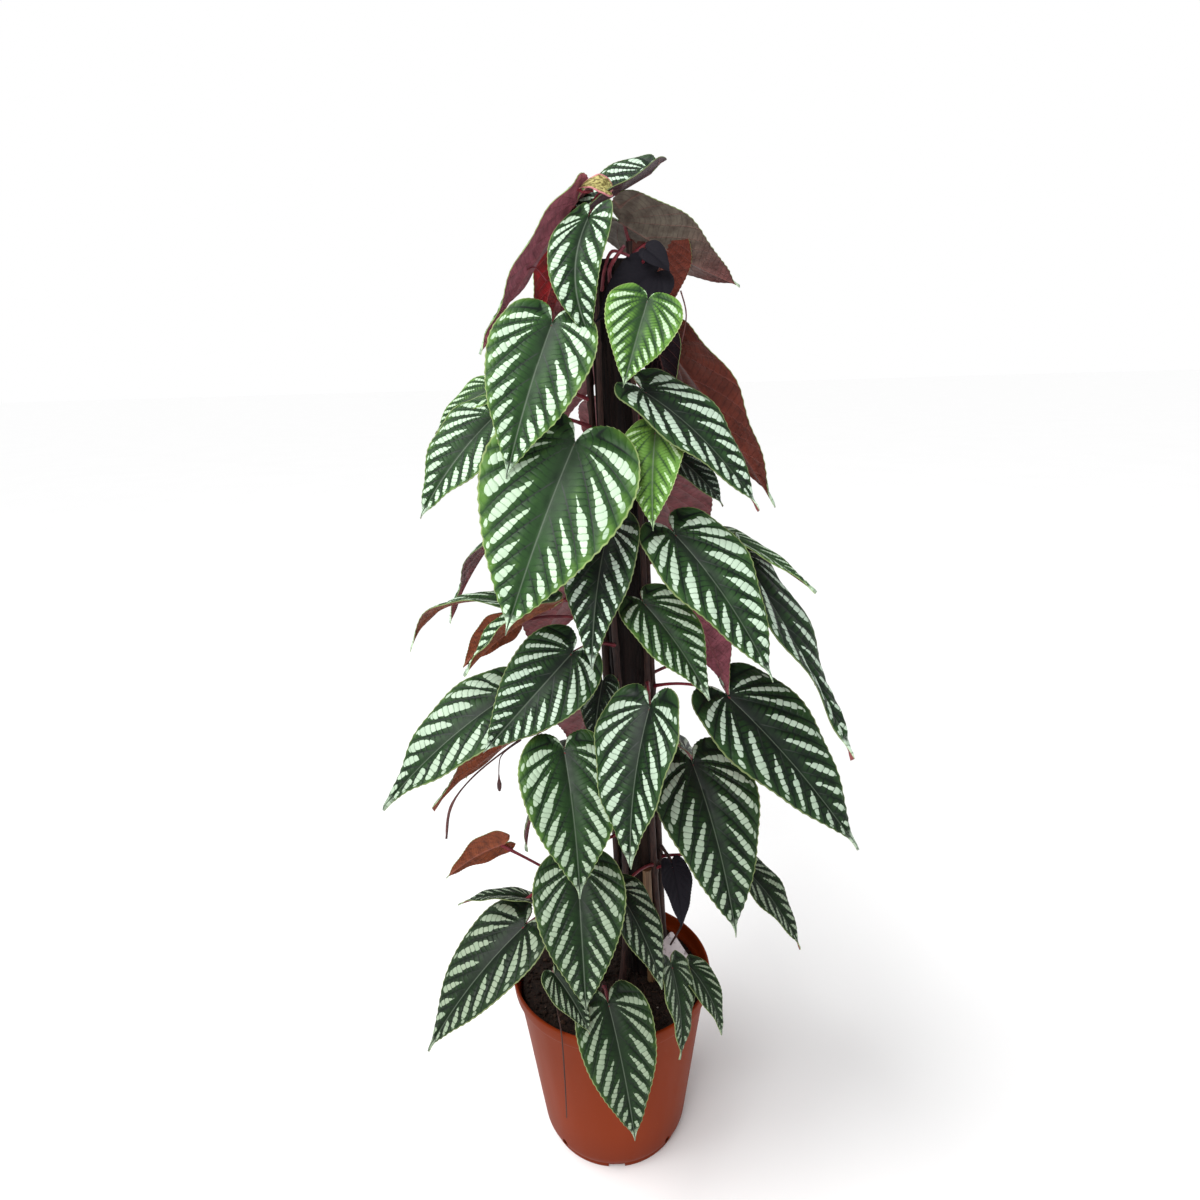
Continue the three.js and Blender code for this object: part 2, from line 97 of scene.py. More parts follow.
DRAIN_HEIGHT = 10.5
DRAIN_TILT = 32
LABEL = {"width": 20, "height": 51, "point": 8, "corner": 2.4, "thickness": 0.9}
LABEL_LEAN = 29
LABEL_TURN = 37
LABEL_FOOT = (69.5, -15, 150)

# The camera: its place, its field and how it is turned
CAMERA_PLACE = np.array([0.0, -580.0, 657.0])
CAMERA_LENS = 24
CAMERA_SENSOR = 36
CAMERA_YAW = 0.1
CAMERA_PITCH = 16.2
CAMERA_ROLL = -1.6


# The repeatable draw that places the far side's leaves
def draws(seed):
    while True:
        seed = seed * 16807 % 2147483647
        yield seed / 2147483647


draw = draws(20117).__next__
chance = random.Random(11)


def mix(a, b, share):
    return a + (b - a) * share


def unit(v):
    return v / np.linalg.norm(v)


def smooth(x, low, high):
    t = np.clip((x - low) / (high - low), 0, 1)
    return t * t * (3 - 2 * t)


# Materials are written as formulas: a Wire is a node's output that can be added, subtracted and multiplied.
class Wire:
    def __init__(self, paint, socket):
        self.paint = paint
        self.socket = socket

    def __add__(self, other):
        return self.paint.math("ADD", self, other)

    def __sub__(self, other):
        return self.paint.math("SUBTRACT", self, other)

    def __rsub__(self, other):
        return self.paint.math("SUBTRACT", other, self)

    def __mul__(self, other):
        return self.paint.math("MULTIPLY", self, other)

    __radd__ = __add__


SOCKETS = {"base_color": "Base Color", "roughness": "Roughness", "gloss": "Specular IOR Level"}


def srgb(*channels):
    """A colour of 0 to 255 a channel on the screen, as a shader's linear colour."""
    linear = [((c / 255 + 0.055) / 1.055) ** 2.4 if c > 10 else c / 255 / 12.92 for c in channels]
    return (*linear, 1.0)


class Paint:
    def __init__(self, name, **settings):
        self.material = bpy.data.materials.new(name)
        self.material.use_nodes = True
        self.tree = self.material.node_tree
        self.shader = self.tree.nodes["Principled BSDF"]
        self.set(**settings)

    def feed(self, value, socket):
        if isinstance(value, Wire):
            self.tree.links.new(value.socket, socket)
        else:
            socket.default_value = value

    def node(self, kind, *values, **settings):
        made = self.tree.nodes.new("ShaderNode" + kind)
        for name, value in settings.items():
            setattr(made, name, value)
        for socket, value in zip(made.inputs, values):
            self.feed(value, socket)
        return Wire(self, made.outputs[0])

    def named(self, kind, **values):
        """A node whose inputs are given by name."""
        made = self.tree.nodes.new("ShaderNode" + kind)
        for name, value in values.items():
            self.feed(value, made.inputs[name])
        return made

    def set(self, **settings):
        for name, value in settings.items():
            self.feed(value, self.shader.inputs[SOCKETS[name]])

    def math(self, operation, *values):
        return self.node("Math", *values, operation=operation)

    def step(self, value, low, high, start=0.0, end=1.0):
        return self.node("MapRange", value, low, high, start, end, interpolation_type="SMOOTHSTEP")

    def layers(self, colour, *coats):
        """A colour under its coats, each of which is a share and a colour."""
        for share, coat in coats:
            made = self.tree.nodes.new("ShaderNodeMix")
            made.data_type = "RGBA"
            for value, index in ((share, 0), (colour, 6), (coat, 7)):
                self.feed(srgb(*value) if isinstance(value, tuple) else value, made.inputs[index])
            colour = Wire(self, made.outputs[2])
        return colour

    def vector(self, *parts):
        return self.node("CombineXYZ", *parts)

    def parts(self, vector):
        return [Wire(self, socket) for socket in self.named("SeparateXYZ", Vector=vector).outputs]

    def held(self, name):
        made = self.tree.nodes.new("ShaderNodeAttribute")
        made.attribute_name = name
        return self.parts(Wire(self, made.outputs["Vector"]))

    def height(self):
        """The height above the floor, in metres."""
        return self.parts(self.node("NewGeometry"))[2]

    def centred(self, value):
        """1 at each whole number and 0 midway between two."""
        return self.math("ABSOLUTE", self.math("FRACT", value) - 0.5) * 2.0

    def noise(self, vector, scale, detail=2.0, roughness=0.5):
        made = self.named("TexNoise", Vector=vector, Scale=scale, Detail=detail, Roughness=roughness)
        return Wire(self, made.outputs["Fac"])

    def grit(self, scale, detail=3.0, roughness=0.5):
        """Noise in the object's space, with its own scale along each axis."""
        spot = self.node("VectorMath", self.node("NewGeometry"), scale, operation="MULTIPLY")
        return self.noise(spot, 1.0, detail, roughness)

    def random(self, vector):
        return self.node("TexWhiteNoise", vector, noise_dimensions="3D")

    def skin(self, colour, height, depth, strength, **settings):
        """The finished material, with a relief of that height field, depth in metres and strength."""
        self.set(base_color=colour, **settings)
        made = self.named("Bump", Height=height, Distance=depth, Strength=strength)
        self.feed(Wire(self, made.outputs[0]), self.shader.inputs["Normal"])
        return self.material


# The upper face of a leaf. "veins" holds the count of lateral veins, the share of the way from the midrib
# to the margin and the count of small cross veins; "spot" the millimetres from the midrib, the share of the
# length and the leaf's number; "tone" how young, how silver and how brown beneath the leaf is.
def leaf_top():
    p = Paint("leaf_top", gloss=0.2)
    phase, reach, run = p.held("veins")
    away, along, number = p.held("spot")
    young, silver, _ = p.held("tone")
    # Leaves low on the plant are darkened and their silver dulled: painted shade for the less lit lower
    # plant.
    low_shade = p.step(p.height(), 0.52, 0.2)
    # Leaves with no silver are coloured near black: painted shade for leaves deep in the plant's shade.
    shaded_leaf = p.step(silver, 0.12, 0.02)
    band = p.math("FLOOR", phase)
    side = p.math("GREATER_THAN", away, 0.0)
    key = p.math("ROUND", number)
    fine = p.noise(p.vector(phase * 2.0, run * 1.2, key * 7.0 + side * 3.0), 1.3, 3.0)
    first = p.random(p.vector(band, side, key))
    second = p.random(p.vector(band + 40.0, side, key))
    third = p.random(p.vector(side, key, 7.0))
    centred = p.centred(phase)

    # Small veins cross each band and cut it into blocks.
    rung = run + first * 6.0 + fine * 0.5
    cell = p.math("FLOOR", rung)
    crossing = p.centred(rung)
    block = p.random(p.vector(cell, band, key + side * 0.5))
    start = 0.12 + young * 0.26 + first * 0.14
    widest = 0.14 + silver * 0.48 + (third - 0.5) * 0.2 + (first - 0.5) * 0.1
    width = p.node("MapRange", reach, start, start + 0.3, 0.12, 1.0) * widest
    ending = p.node("MapRange", reach + (second - 0.5) * 0.08, 0.7, 0.89, 0.0, 1.0)
    width = width * p.math("SQRT", 1.0 - ending * ending) - p.step(ending, 0.9, 1.0) * 0.3
    broken = 1.0 - young * 0.6
    notched = (block - 0.5) * 0.26 - p.math("POWER", crossing, 6.0) * 0.2
    width = width + notched * broken + (fine - 0.5) * 0.14
    strip = p.step(width - centred, 0.0, 0.06) * p.step(reach, start, start + 0.03)
    blotch = centred * centred * 8.0 + p.math("POWER", (reach - 0.915) * 24.0, 2.0)
    dots = p.step(blotch + fine, 1.5, 1.1) * p.step(second + block * 0.2, 0.3, 0.4)
    tip = p.step(along + fine * 0.06, 0.92, 0.97) * p.step(reach, 0.05, 0.3)
    pale = p.math("MAXIMUM", p.math("MAXIMUM", strip, dots * 0.85), tip)
    gap = p.step(crossing, 0.97, 0.74, 0.15 + block * 0.45, 1.0)
    pale = pale * (gap + young * (1.0 - gap)) * p.step(silver, 0.05, 0.6)

    # Green: brighter beside the bands and towards the margin, dark along the veins and the cross veins,
    # darkened on low leaves and near black on leaves with no silver, both painted shade
    vein = p.step(centred, 0.9, 0.985) * p.step(reach, 0.02, 0.1)
    ladder = p.step(crossing, 0.6, 0.95) * p.step(reach, 0.05, 0.3) * p.step(reach, 0.75, 0.4)
    halo = p.step(centred, 1.0, 0.35) * p.step(reach, 0.06, 0.3)
    mottle = p.noise(p.vector(away * 0.05, along * 6.0, key * 5.0), 2.2)
    fresh = 0.06 + young * 0.8 + halo * (0.14 + young * 0.3)
    fresh = fresh + p.step(reach, 0.7, 0.97) * (0.14 + young * 0.4)
    fresh = fresh + (mottle - 0.5) * 0.5 - vein * 0.3 - ladder * 0.26
    fresh = p.math("MINIMUM", p.math("MAXIMUM", fresh, 0.0), 1.2)
    heart = p.step(reach, 0.28, 0.03) * p.step(along, 0.6, 0.0) * (1.0 - young * 0.5)
    nerve = vein * p.step(reach, 0.5, 0.05)
    green = p.layers(
        (17, 30, 22),
        (p.step(fresh, 0.0, 0.5), (44, 74, 38)),
        (p.step(fresh, 0.5, 1.2), (100, 144, 60)),
        (heart * 0.6, (30, 30, 34)),
        (nerve * 0.35, (92, 102, 92)),
        (low_shade * 0.6, (10, 22, 7)),
        (shaded_leaf, (20, 18, 26)),
    )
    mint = p.layers(
        (206, 226, 210),
        (young, (188, 220, 166)),
        (low_shade, (148, 163, 138)),
        (block * 0.25, (120, 150, 120)),
    )
    striped = p.step(silver, 0.0, 0.2)
    midrib = p.step(p.math("ABSOLUTE", away), 0.55, 0.3) * striped
    rim = p.step(reach + (fine - 0.5) * 0.02, 0.972, 0.99) * striped
    colour = p.layers(
        green,
        (pale, mint),
        (midrib * 0.5, (104, 116, 100)),
        (rim * (0.3 + young * 0.35), (186, 200, 134)),
    )
    quilt = (1.0 - crossing * crossing * crossing) * p.step(reach, 0.1, 0.45) * p.step(centred, 1.0, 0.7)
    quilt = quilt * p.step(silver, 0.02, 0.2)
    return p.skin(colour, quilt + fine * 0.25, 0.0004, 0.9, roughness=0.36 + fine * 0.16 + shaded_leaf * 0.3)


# The underside: burgundy on most leaves and brown-red on some, near black on a few as painted shade, olive
# on one and orange-brown on others as painted light shining through the leaf, with raised paler veins.
# "brown" is the place on that scale.
def leaf_underside():
    p = Paint("leaf_underside", gloss=0.3)
    phase, reach, run = p.held("veins")
    away, along, number = p.held("spot")
    _, _, brown = p.held("tone")
    mottle = p.noise(p.vector(away * 0.08, along * 9.0, number * 3.0), 1.6, 4.0, 0.6)
    midrib = p.step(p.math("ABSOLUTE", away), 1.0, 0.4)
    line = p.math("MAXIMUM", p.step(p.centred(phase), 0.88, 0.98), midrib)
    rung = p.centred(run + mottle * 0.6)
    # Olive shading to dull red along the leaf: painted light shining through it.
    light_through_olive = p.layers((118, 108, 96), (p.step(along, 0.3, 0.9), (120, 72, 70)))
    base = p.layers(
        # Near black where brown is 0: painted shade for leaves deep in the plant's shade.
        (30, 19, 28),
        (p.step(brown, 0.0, 0.25), (170, 96, 110)),
        (p.step(brown, 0.3, 0.5), (118, 54, 40)),
        (p.step(brown, 0.52, 0.62), light_through_olive),
        # Orange-brown: painted light shining through the leaf.
        (p.step(brown, 0.66, 0.9), (138, 70, 40)),
        (p.step(brown, 1.0, 1.2), (176, 44, 48)),
        (p.step(mottle, 0.3, 0.75) * 0.55, (40, 18, 18)),
        (line * 0.3, (150, 92, 84)),
        (p.step(rung, 0.7, 0.96) * p.step(reach, 0.02, 0.2) * 0.22, (30, 14, 16)),
    )
    relief = line * 1.2 + p.step(rung, 0.7, 1.0) * 0.5 + mottle * 0.4
    return p.skin(base, relief, 0.0004, 0.8, roughness=0.5 + mottle * 0.1)


# Woody stems, red-purple leaf stalks and thin tendrils: "grain" holds the millimetres along and the turn
def stalk(name, dark, light, roughness):
    p = Paint(name, gloss=0.4, roughness=roughness)
    along, turn, number = p.held("grain")
    streak = p.noise(p.vector(along * 0.05, turn * 1.6, number), 2.4, 4.0, 0.6)
    patch = p.grit((60, 60, 25), 2.0)
    colour = p.layers(dark, (p.step(streak * 0.6 + patch * 0.4, 0.36, 0.62), light))
    return p.skin(colour, streak, 0.0004, 0.7)


def bud_skin():
    p = Paint("bud_skin", gloss=0.3, roughness=0.5)
    _, reach, _ = p.held("veins")
    fold = p.grit((420, 420, 900), 3.0, 0.6)
    colour = p.layers(
        (112, 100, 52),
        (p.step(fold, 0.4, 0.6), (196, 186, 118)),
        (p.step(reach + (fold - 0.5) * 0.5, 0.78, 0.95), (206, 130, 136)),
    )
    return p.skin(colour, fold, 0.0012, 0.9)


def pot_plastic():
    p = Paint("pot_plastic", gloss=0.08)
    cloud = p.grit((9, 9, 5))
    drag = p.grit((70, 70, 4))
    speck = p.grit((900, 900, 900), 2.0)
    colour = p.layers(
        (118, 42, 6),
        (p.step(cloud, 0.3, 0.7), (128, 46, 9)),
        # Darker towards the foot: painted shade.
        (p.step(p.height(), 0.05, 0.0) * 0.45, (104, 38, 20)),
        (p.step(speck + drag * 0.15, 0.78, 0.84) * 0.35, (176, 100, 64)),
    )
    return p.skin(colour, drag * 0.5 + speck * 0.25, 0.0003, 0.35, roughness=0.42 + drag * 0.16)


# Soil: "grain" holds the kind of each grain, which is peat, bark or pale grit, and its tint
def soil_crumbs():
    p = Paint("soil_crumbs", gloss=0.25, roughness=0.88)
    kind, tint, _ = p.held("grain")
    clod = p.grit((320, 320, 320), 5.0, 0.7)
    fibre = p.grit((1500, 300, 500))
    peat = p.layers((18, 13, 10), (p.step(clod, 0.32, 0.7), (50, 37, 28)))
    bark = p.layers((44, 29, 21), (tint, (88, 64, 46)))
    colour = p.layers(
        peat,
        (p.step(kind, 0.5, 1.5), bark),
        (p.step(kind, 1.5, 2.5), (196, 190, 178)),
        (p.step(fibre, 0.62, 0.75) * 0.35, (84, 62, 44)),
    )
    return p.skin(colour, clod + fibre * 0.6, 0.0012, 0.9)


def pole_fibre():
    p = Paint("pole_fibre", gloss=0.25, roughness=0.82)
    along, turn, number = p.held("grain")
    strand = p.noise(p.vector(along * 0.012, turn * 9.0, number), 1.7, 6.0, 0.68)
    patch = p.grit((22, 22, 9))
    # The fibre is coloured near black: partly its own dark brown, partly painted shade for the plant's
    # shaded inside.
    colour = p.layers(
        (12, 8, 9),
        (p.step(strand, 0.34, 0.66), (36, 25, 21)),
        (p.step(patch + strand * 0.3, 0.66, 0.85) * 0.5, (62, 46, 36)),
    )
    return p.skin(colour, strand, 0.0015, 0.9)


def cane_wood():
    p = Paint("cane_wood", gloss=0.4)
    along, turn, _ = p.held("grain")
    strand = p.noise(p.vector(along * 0.01, turn * 5.0, 0.0), 2.0, 5.0, 0.6)
    colour = p.layers(
        (104, 76, 50),
        (p.step(strand, 0.35, 0.65), (148, 118, 82)),
        (p.step(p.grit((14, 14, 10)), 0.5, 0.7) * 0.5, (78, 54, 38)),
    )
    return p.skin(colour, strand, 0.0004, 0.6, roughness=0.42 + strand * 0.2)


def label_plastic():
    p = Paint("label_plastic", gloss=0.4)
    cloud = p.grit((40, 40, 18))
    scuff = p.grit((500, 500, 60))
    dirt = p.grit((170, 170, 230), 5.0, 0.7)
    colour = p.layers(
        (206, 198, 200),
        (p.step(cloud, 0.3, 0.7), (230, 224, 224)),
        (p.step(dirt, 0.54, 0.66) * 0.75, (96, 82, 80)),
        (p.step(p.height() + cloud * 0.02, 0.168, 0.15) * 0.6, (120, 100, 84)),
    )
    return p.skin(colour, scuff, 0.0001, 0.3, roughness=0.4 + scuff * 0.15)


def floor_paint():
    p = Paint("floor_paint", roughness=0.9, gloss=0.1)
    p.set(base_color=p.layers((251, 251, 251), (p.grit((3, 3, 3), 2.0), (254, 254, 254))))
    return p.material


# A mesh in the making: surfaces with a material number and with values held for the materials
HELD = ("veins", "spot", "tone", "grain")


class Body:
    def __init__(self):
        self.points = []
        self.faces = []
        self.kinds = []
        self.held = {name: [] for name in HELD}
        self.count = 0

    def add(self, points, faces, kind, **held):
        points = np.asarray(points, float).reshape(-1, 3)
        self.points.append(points)
        self.faces += [[corner + self.count for corner in face] for face in faces]
        self.kinds += [kind] * len(faces) if isinstance(kind, int) else list(kind)
        for name in HELD:
            values = held.get(name, (0, 0, 0))
            self.held[name].append(np.broadcast_to(np.asarray(values, float), points.shape))
        self.count += len(points)

    def mesh(self, name, materials, crease=50):
        made = bpy.data.meshes.new(name)
        made.from_pydata((np.concatenate(self.points) * MM).tolist(), [], self.faces)
        for material in materials:
            made.materials.append(material)
        made.polygons.foreach_set("material_index", self.kinds)
        for key, lists in self.held.items():
            values = np.concatenate(lists)
            if values.any():
                layer = made.attributes.new(key, "FLOAT_VECTOR", "POINT")
                layer.data.foreach_set("vector", values.astype(np.float32).ravel())
        made.shade_smooth()
        made.set_sharp_from_angle(angle=math.radians(crease))
        made.update()
        return made


def show(name, data):
    made = bpy.data.objects.new(name, data)
    bpy.context.scene.collection.objects.link(made)
    return made


def piece(name, mesh, slot, *nodes):
    made = show(name, mesh)
    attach(made, "root")
    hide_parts(*nodes)


def circle(sides):
    turns = FULL * np.arange(sides) / sides
    return np.stack([np.cos(turns), np.sin(turns)], axis=1)


# Points of a turned shape: the middle of its first and of its last ring, then ring after ring
def turned_points(first, last, ring, profile):
    rings = [np.column_stack([ring * r, np.full(len(ring), z)]) for r, z in profile]
    return [np.array([[0, 0, first], [0, 0, last]]), *rings]


def turned_faces(sides, rows):
    faces = []
    last = 2 + (rows - 1) * sides
    for a in range(sides):
        b = (a + 1) % sides
        faces += [[i + a, i + b, i + sides + b, i + sides + a] for i in range(2, last, sides)]
        faces += [[0, 2 + b, 2 + a], [1, last + a, last + b]]
    return faces


# A round rod along a route: its radius comes from the millimetres along it and the turn round it.
def add_rod(body, route, radius_at, sides, kind=0, number=0.0):
    route = np.asarray(route, float)
    ahead = np.vstack([route[1:], route[-1:]]) - np.vstack([route[:1], route[:-1]])
    ahead /= np.linalg.norm(ahead, axis=1, keepdims=True)
    passed = np.concatenate([[0], np.cumsum(spans(route))])
    turns = FULL * np.arange(sides) / sides
    around = circle(sides)
    across = np.array([1, 0.02, 0.01])
    points = []
    grain = []
    for centre, along, far in zip(route, ahead, passed):
        across = unit(across - along * across.dot(along))
        beside = np.cross(along, across)
        radius = np.broadcast_to(radius_at(far, turns), sides)[:, None]
        points.append(centre + radius * (around[:, :1] * across + around[:, 1:] * beside))
        grain.append(np.column_stack([np.full(sides, far), around[:, 1], around[:, 0] + number * 4]))
    points.append(route[[0, -1]])
    grain.append(np.array([[0, 0, number * 4], [passed[-1], 0, number * 4]]))
    last = (len(route) - 1) * sides
    foot, head = last + sides, last + sides + 1
    faces = []
    for a in range(sides):
        b = (a + 1) % sides
        faces += [[low + a, low + b, low + sides + b, low + sides + a] for low in range(0, last, sides)]
        faces += [[foot, b, a], [head, last + a, last + b]]
    body.add(np.concatenate(points), faces, kind, grain=np.concatenate(grain))


def spans(route):
    return np.linalg.norm(np.diff(route, axis=0), axis=1)


def bezier(start, crest, end, steps):
    t = np.linspace(0, 1, steps + 1)[:, None]
    return (1 - t) ** 2 * start + 2 * t * (1 - t) * crest + t**2 * end


def spline(points, steps, before=None, beyond=None):
    """A smooth curve through the points, with that many steps between each two."""
    knots = [np.asarray(p, float) for p in points]
    knots = [knots[0] if before is None else np.asarray(before, float), *knots]
    knots.append(knots[-1] if beyond is None else np.asarray(beyond, float))
    curve = []
    for a, b, c, d in zip(knots, knots[1:], knots[2:], knots[3:]):
        for t in np.arange(steps) / steps:
            bend = (2 * a - 5 * b + 4 * c - d) * t * t + (3 * b - a - 3 * c + d) * t**3
            curve.append(0.5 * (2 * b + (c - a) * t + bend))
    return np.array([*curve, knots[-2]])


TOP, UNDER, STEM, PETIOLE, TENDRIL, BUD = range(6)

# The leaf blade's margin on one side, from the stalk round the lobe to the tip, as shares of its length
# and width, with the place on the midrib that each margin point is joined to
MARGIN = [
    (0, 0.008, 0), (-0.1, 0.07, 0.002), (-0.13, 0.24, 0.008),
    (-0.03, 0.42, 0.02), (0.15, 0.5, 0.1), (0.38, 0.455, 0.28),
    (0.6, 0.325, 0.5), (0.81, 0.145, 0.75), (1, 0.004, 1),
]
MARGIN_BEFORE = (0.06, -0.01, 0)
MARGIN_BEYOND = (1.26, 0.13, 1.25)
MARGIN_STEPS = 9
BLADE_COLUMNS = 17
TOOTH = 0.0075
EDGE = spline(MARGIN, MARGIN_STEPS, MARGIN_BEFORE, MARGIN_BEYOND)

# How the lateral veins lie: their forward slope and bend, how their count grows up the midrib and in the
# lobe, and how far from the stalk the lobe's veins are as wide apart as the others
VEIN_SLOPE = 1.25
VEIN_BEND = 1.6
VEIN_COUNT = 4.4
VEIN_CROWDING = 2.6
LOBE_COUNT = 5.8
LOBE_REACH = 0.3

# The small cross veins: their pitch as a share of the length, and how far they fall back on their way out
CROSS_PITCH = 0.036
CROSS_SLOPE = 0.35

# A blade's relief: the scale of its hook, its quilting and margin waves as shares of the length, its lean
# to a side as a share of the width, the groove above and the keel below the midrib with their half widths
# in millimetres, and the ribs below the lateral veins
HOOK_SCALE = 2.6
QUILTING = 0.011
WAVES = 0.013
LEANING = 0.05
GROOVE = 0.9
GROOVE_WIDTH = 1.5
KEEL = 0.9
KEEL_WIDTH = 1.2
VEIN_RIB = 0.3

# The space that the blades keep to
LOWEST, HIGHEST = (np.array(corner) / MM for corner in cad_box)
LOWEST, HIGHEST = LOWEST + EDGE_MARGIN, HIGHEST - EDGE_MARGIN


# A blade's place and shape: where its stalk joins it, the heading and drop of its midrib and its turn about
# it, its length and width, how far it arches, folds up, hooks, twists and swings, how far it stands above
# the foot of its stalk, and how young, how silver and how brown beneath it is.
def blade(at, turned, size, young=0.35, silver=0.85, brown=0.4, **shape):
    leaf = {"arch": 0.07, "fold": 0.16, "cup": 0.2, "hook": 0, "twist": 0, "swing": 0}
    leaf |= {"rise": 12, "lift": 1, "skins": (TOP, UNDER), **shape}
    leaf["at"], leaf["tone"] = np.array(at, float), (young, silver, brown)
    leaf["heading"], leaf["drop"], leaf["roll"] = turned
    leaf["length"], leaf["width"] = size
    return leaf


def blade_frame(leaf):
    drop, heading = math.radians(leaf["drop"]), math.radians(leaf["heading"])
    level = math.cos(drop)
    along = np.array([level * math.cos(heading), level * math.sin(heading), -math.sin(drop)])
    flat = unit(np.cross(along, [0, 0, 1]))
    roll = Matrix.Rotation(math.radians(leaf["roll"]), 3, Vector(along))
    up = np.array(roll @ Vector(np.cross(flat, along)))
    return along, up, np.cross(up, along)


def vein_phase(along, beside):
    """The count of lateral veins at a spot: along and beside the midrib, as shares of the length."""
    origin = along - VEIN_SLOPE * beside - VEIN_BEND * beside**2
    far = np.maximum(np.hypot(along, beside), 0.02)
    upper = VEIN_COUNT * origin + VEIN_CROWDING * origin**2
    return np.where(origin > 0, upper, LOBE_COUNT * origin * LOBE_REACH / far)


def on_both(*fields):
    """Three fields of a blade as a vector a point, for its upper face and then for its underside."""
    return np.tile(np.stack(np.broadcast_arrays(*fields), axis=-1).reshape(-1, 3), (2, 1))


def add_blade(body, leaf, number):
    length, width = leaf["length"], leaf["width"]
    shares = np.linspace(-1, 1, 2 * BLADE_COLUMNS + 1)
    reach = np.abs(shares)[None, :]
    side = np.sign(shares)[None, :]
    edge_along, edge_out, rib = (EDGE[:, i][:, None] for i in range(3))
    teeth = np.where(np.arange(len(EDGE)) % 2, TOOTH, 0)[:, None] * (reach == 1)
    teeth = teeth * smooth(edge_out, 0.01, 0.1)
    along = rib + (edge_along - rib) * reach + teeth * 0.6
    out = (edge_out * reach + teeth) * side
    offset = out * width
    away = np.abs(offset)
    bow = 4 * along * (1 - along)

    # The blade as a whole arches, folds, cups, hooks and twists.
    height = length * (leaf["arch"] * bow + leaf["hook"] * HOOK_SCALE * (along - along**3))
    height += away * leaf["fold"] - leaf["cup"] * (2 * out) ** 2 * 0.1 * width
    height += offset * np.tan(np.radians(leaf["twist"] * along))

    # Its surface is quilted between the veins, grooved at the midrib and waved at the margin.
    phase = vein_phase(along, away / length)
    centred = np.abs(phase - np.floor(phase) - 0.5) * 2
    inner = smooth(reach, 0.06, 0.3) * (1 - smooth(reach, 0.85, 1))
    relief = QUILTING * length * (1 - centred**3) * inner
    groove = GROOVE * np.exp(-((away / GROOVE_WIDTH) ** 2)) * (1 - 0.6 * along)
    steps = np.linspace(0, 1, len(EDGE))[:, None]
    rng = random.Random(number)
    wave = np.sin(FULL * (rng.uniform(3.2, 4.8) * steps + rng.random() + 0.25 * side)) * reach**3
    height += WAVES * length * wave * smooth(steps, 0.05, 0.25)
    lean = np.sin(FULL * (1.3 * along + rng.random())) * out * smooth(along, 0.0, 0.4)
    height += LEANING * width * lean

    forward, up, across = blade_frame(leaf)
    spots = leaf["at"] + (along * length)[..., None] * forward
    spots = spots + (offset + leaf["swing"] * length * bow)[..., None] * across
    half = BLADE_THICKNESS / 2
    keel = KEEL * np.exp(-((away / KEEL_WIDTH) ** 2)) * (1 - 0.75 * np.clip(along, 0, 1))
    keel = keel + VEIN_RIB * centred**8 * inner
    top = spots + (height + relief - groove + half)[..., None] * up
    bottom = spots + (height + 0.7 * relief - 0.6 * groove - half - keel)[..., None] * up

    rows, columns = height.shape
    index = np.arange(rows * columns).reshape(rows, columns)
    a, b, c, d = index[:-1, :-1], index[:-1, 1:], index[1:, 1:], index[1:, :-1]
    upper = np.stack([a, d, c, b], axis=-1).reshape(-1, 4)
    lower = np.stack([a, b, c, d], axis=-1).reshape(-1, 4) + rows * columns
    loop = np.concatenate([index[0, :], index[1:, -1], index[-1, -2::-1], index[-2:0:-1, 0]])
    following = np.roll(loop, -1)
    wall = np.stack([loop, following, following + rows * columns, loop + rows * columns], axis=-1)
    faces = np.concatenate([upper, lower, wall])
    face, back = leaf["skins"]
    kinds = [face] * len(upper) + [back] * len(lower) + [face] * len(wall)
    lobe = np.hypot(along, away / length)
    run = np.where(phase > 0, along + CROSS_SLOPE * away / length, lobe) / CROSS_PITCH
    veins, spot = on_both(phase, reach, run), on_both(offset, along, float(number))
    points = np.clip(np.concatenate([top, bottom]), LOWEST, HIGHEST)
    body.add(points, faces.tolist(), kinds, veins=veins, spot=spot, tone=leaf["tone"])


# The pole's axis at a height, and a stem's way up beside it
def pole_axis(z):
    return mix(POLE_FOOT, POLE_HEAD, (z - SOIL_TOP) / (POLE_HEAD[2] - SOIL_TOP))


def beside(azimuth, orbit, z):
    turn = math.radians(azimuth)
    return pole_axis(z) + np.array([orbit * math.cos(turn), orbit * math.sin(turn), 0])


def stem_spot(stem, z):
    azimuth, sway, spread, _ = stem
    turned = azimuth + sway * math.sin((z - SOIL_TOP) / STEM_WAVE + azimuth)
    flare = max(0, 1 - (z - SOIL_TOP) / STEM_FLARE)
    spot = beside(turned, STEM_ORBIT + spread * flare**2, max(z, SOIL_TOP))
    spot[2] = z
    return spot


# A leaf stalk from the stem, out and a little up, to a few millimetres under the blade's heart
def add_petiole(body, start, leaf, number):
    forward, up, _ = blade_frame(leaf)
    at = leaf["at"]
    crest = mix(start, at, 0.6) + [0, 0, leaf["lift"] * PETIOLE_RISE * np.linalg.norm(at - start)]
    end = at + 3 * forward - 0.5 * up
    route = bezier(start, crest, end, steps=14)
    whole = np.sum(spans(route))

    def radius(far, turns):
        share = far / whole
        swollen = 0.6 * math.exp(-((share / 0.08) ** 2)) + 0.4 * math.exp(-(((share - 0.95) / 0.06) ** 2))
        return (mix(PETIOLE_RADIUS, PETIOLE_TIP_RADIUS, share) + swollen) * (1 + 0.05 * np.cos(3 * turns))

    add_rod(body, route, radius, sides=9, kind=PETIOLE, number=number)


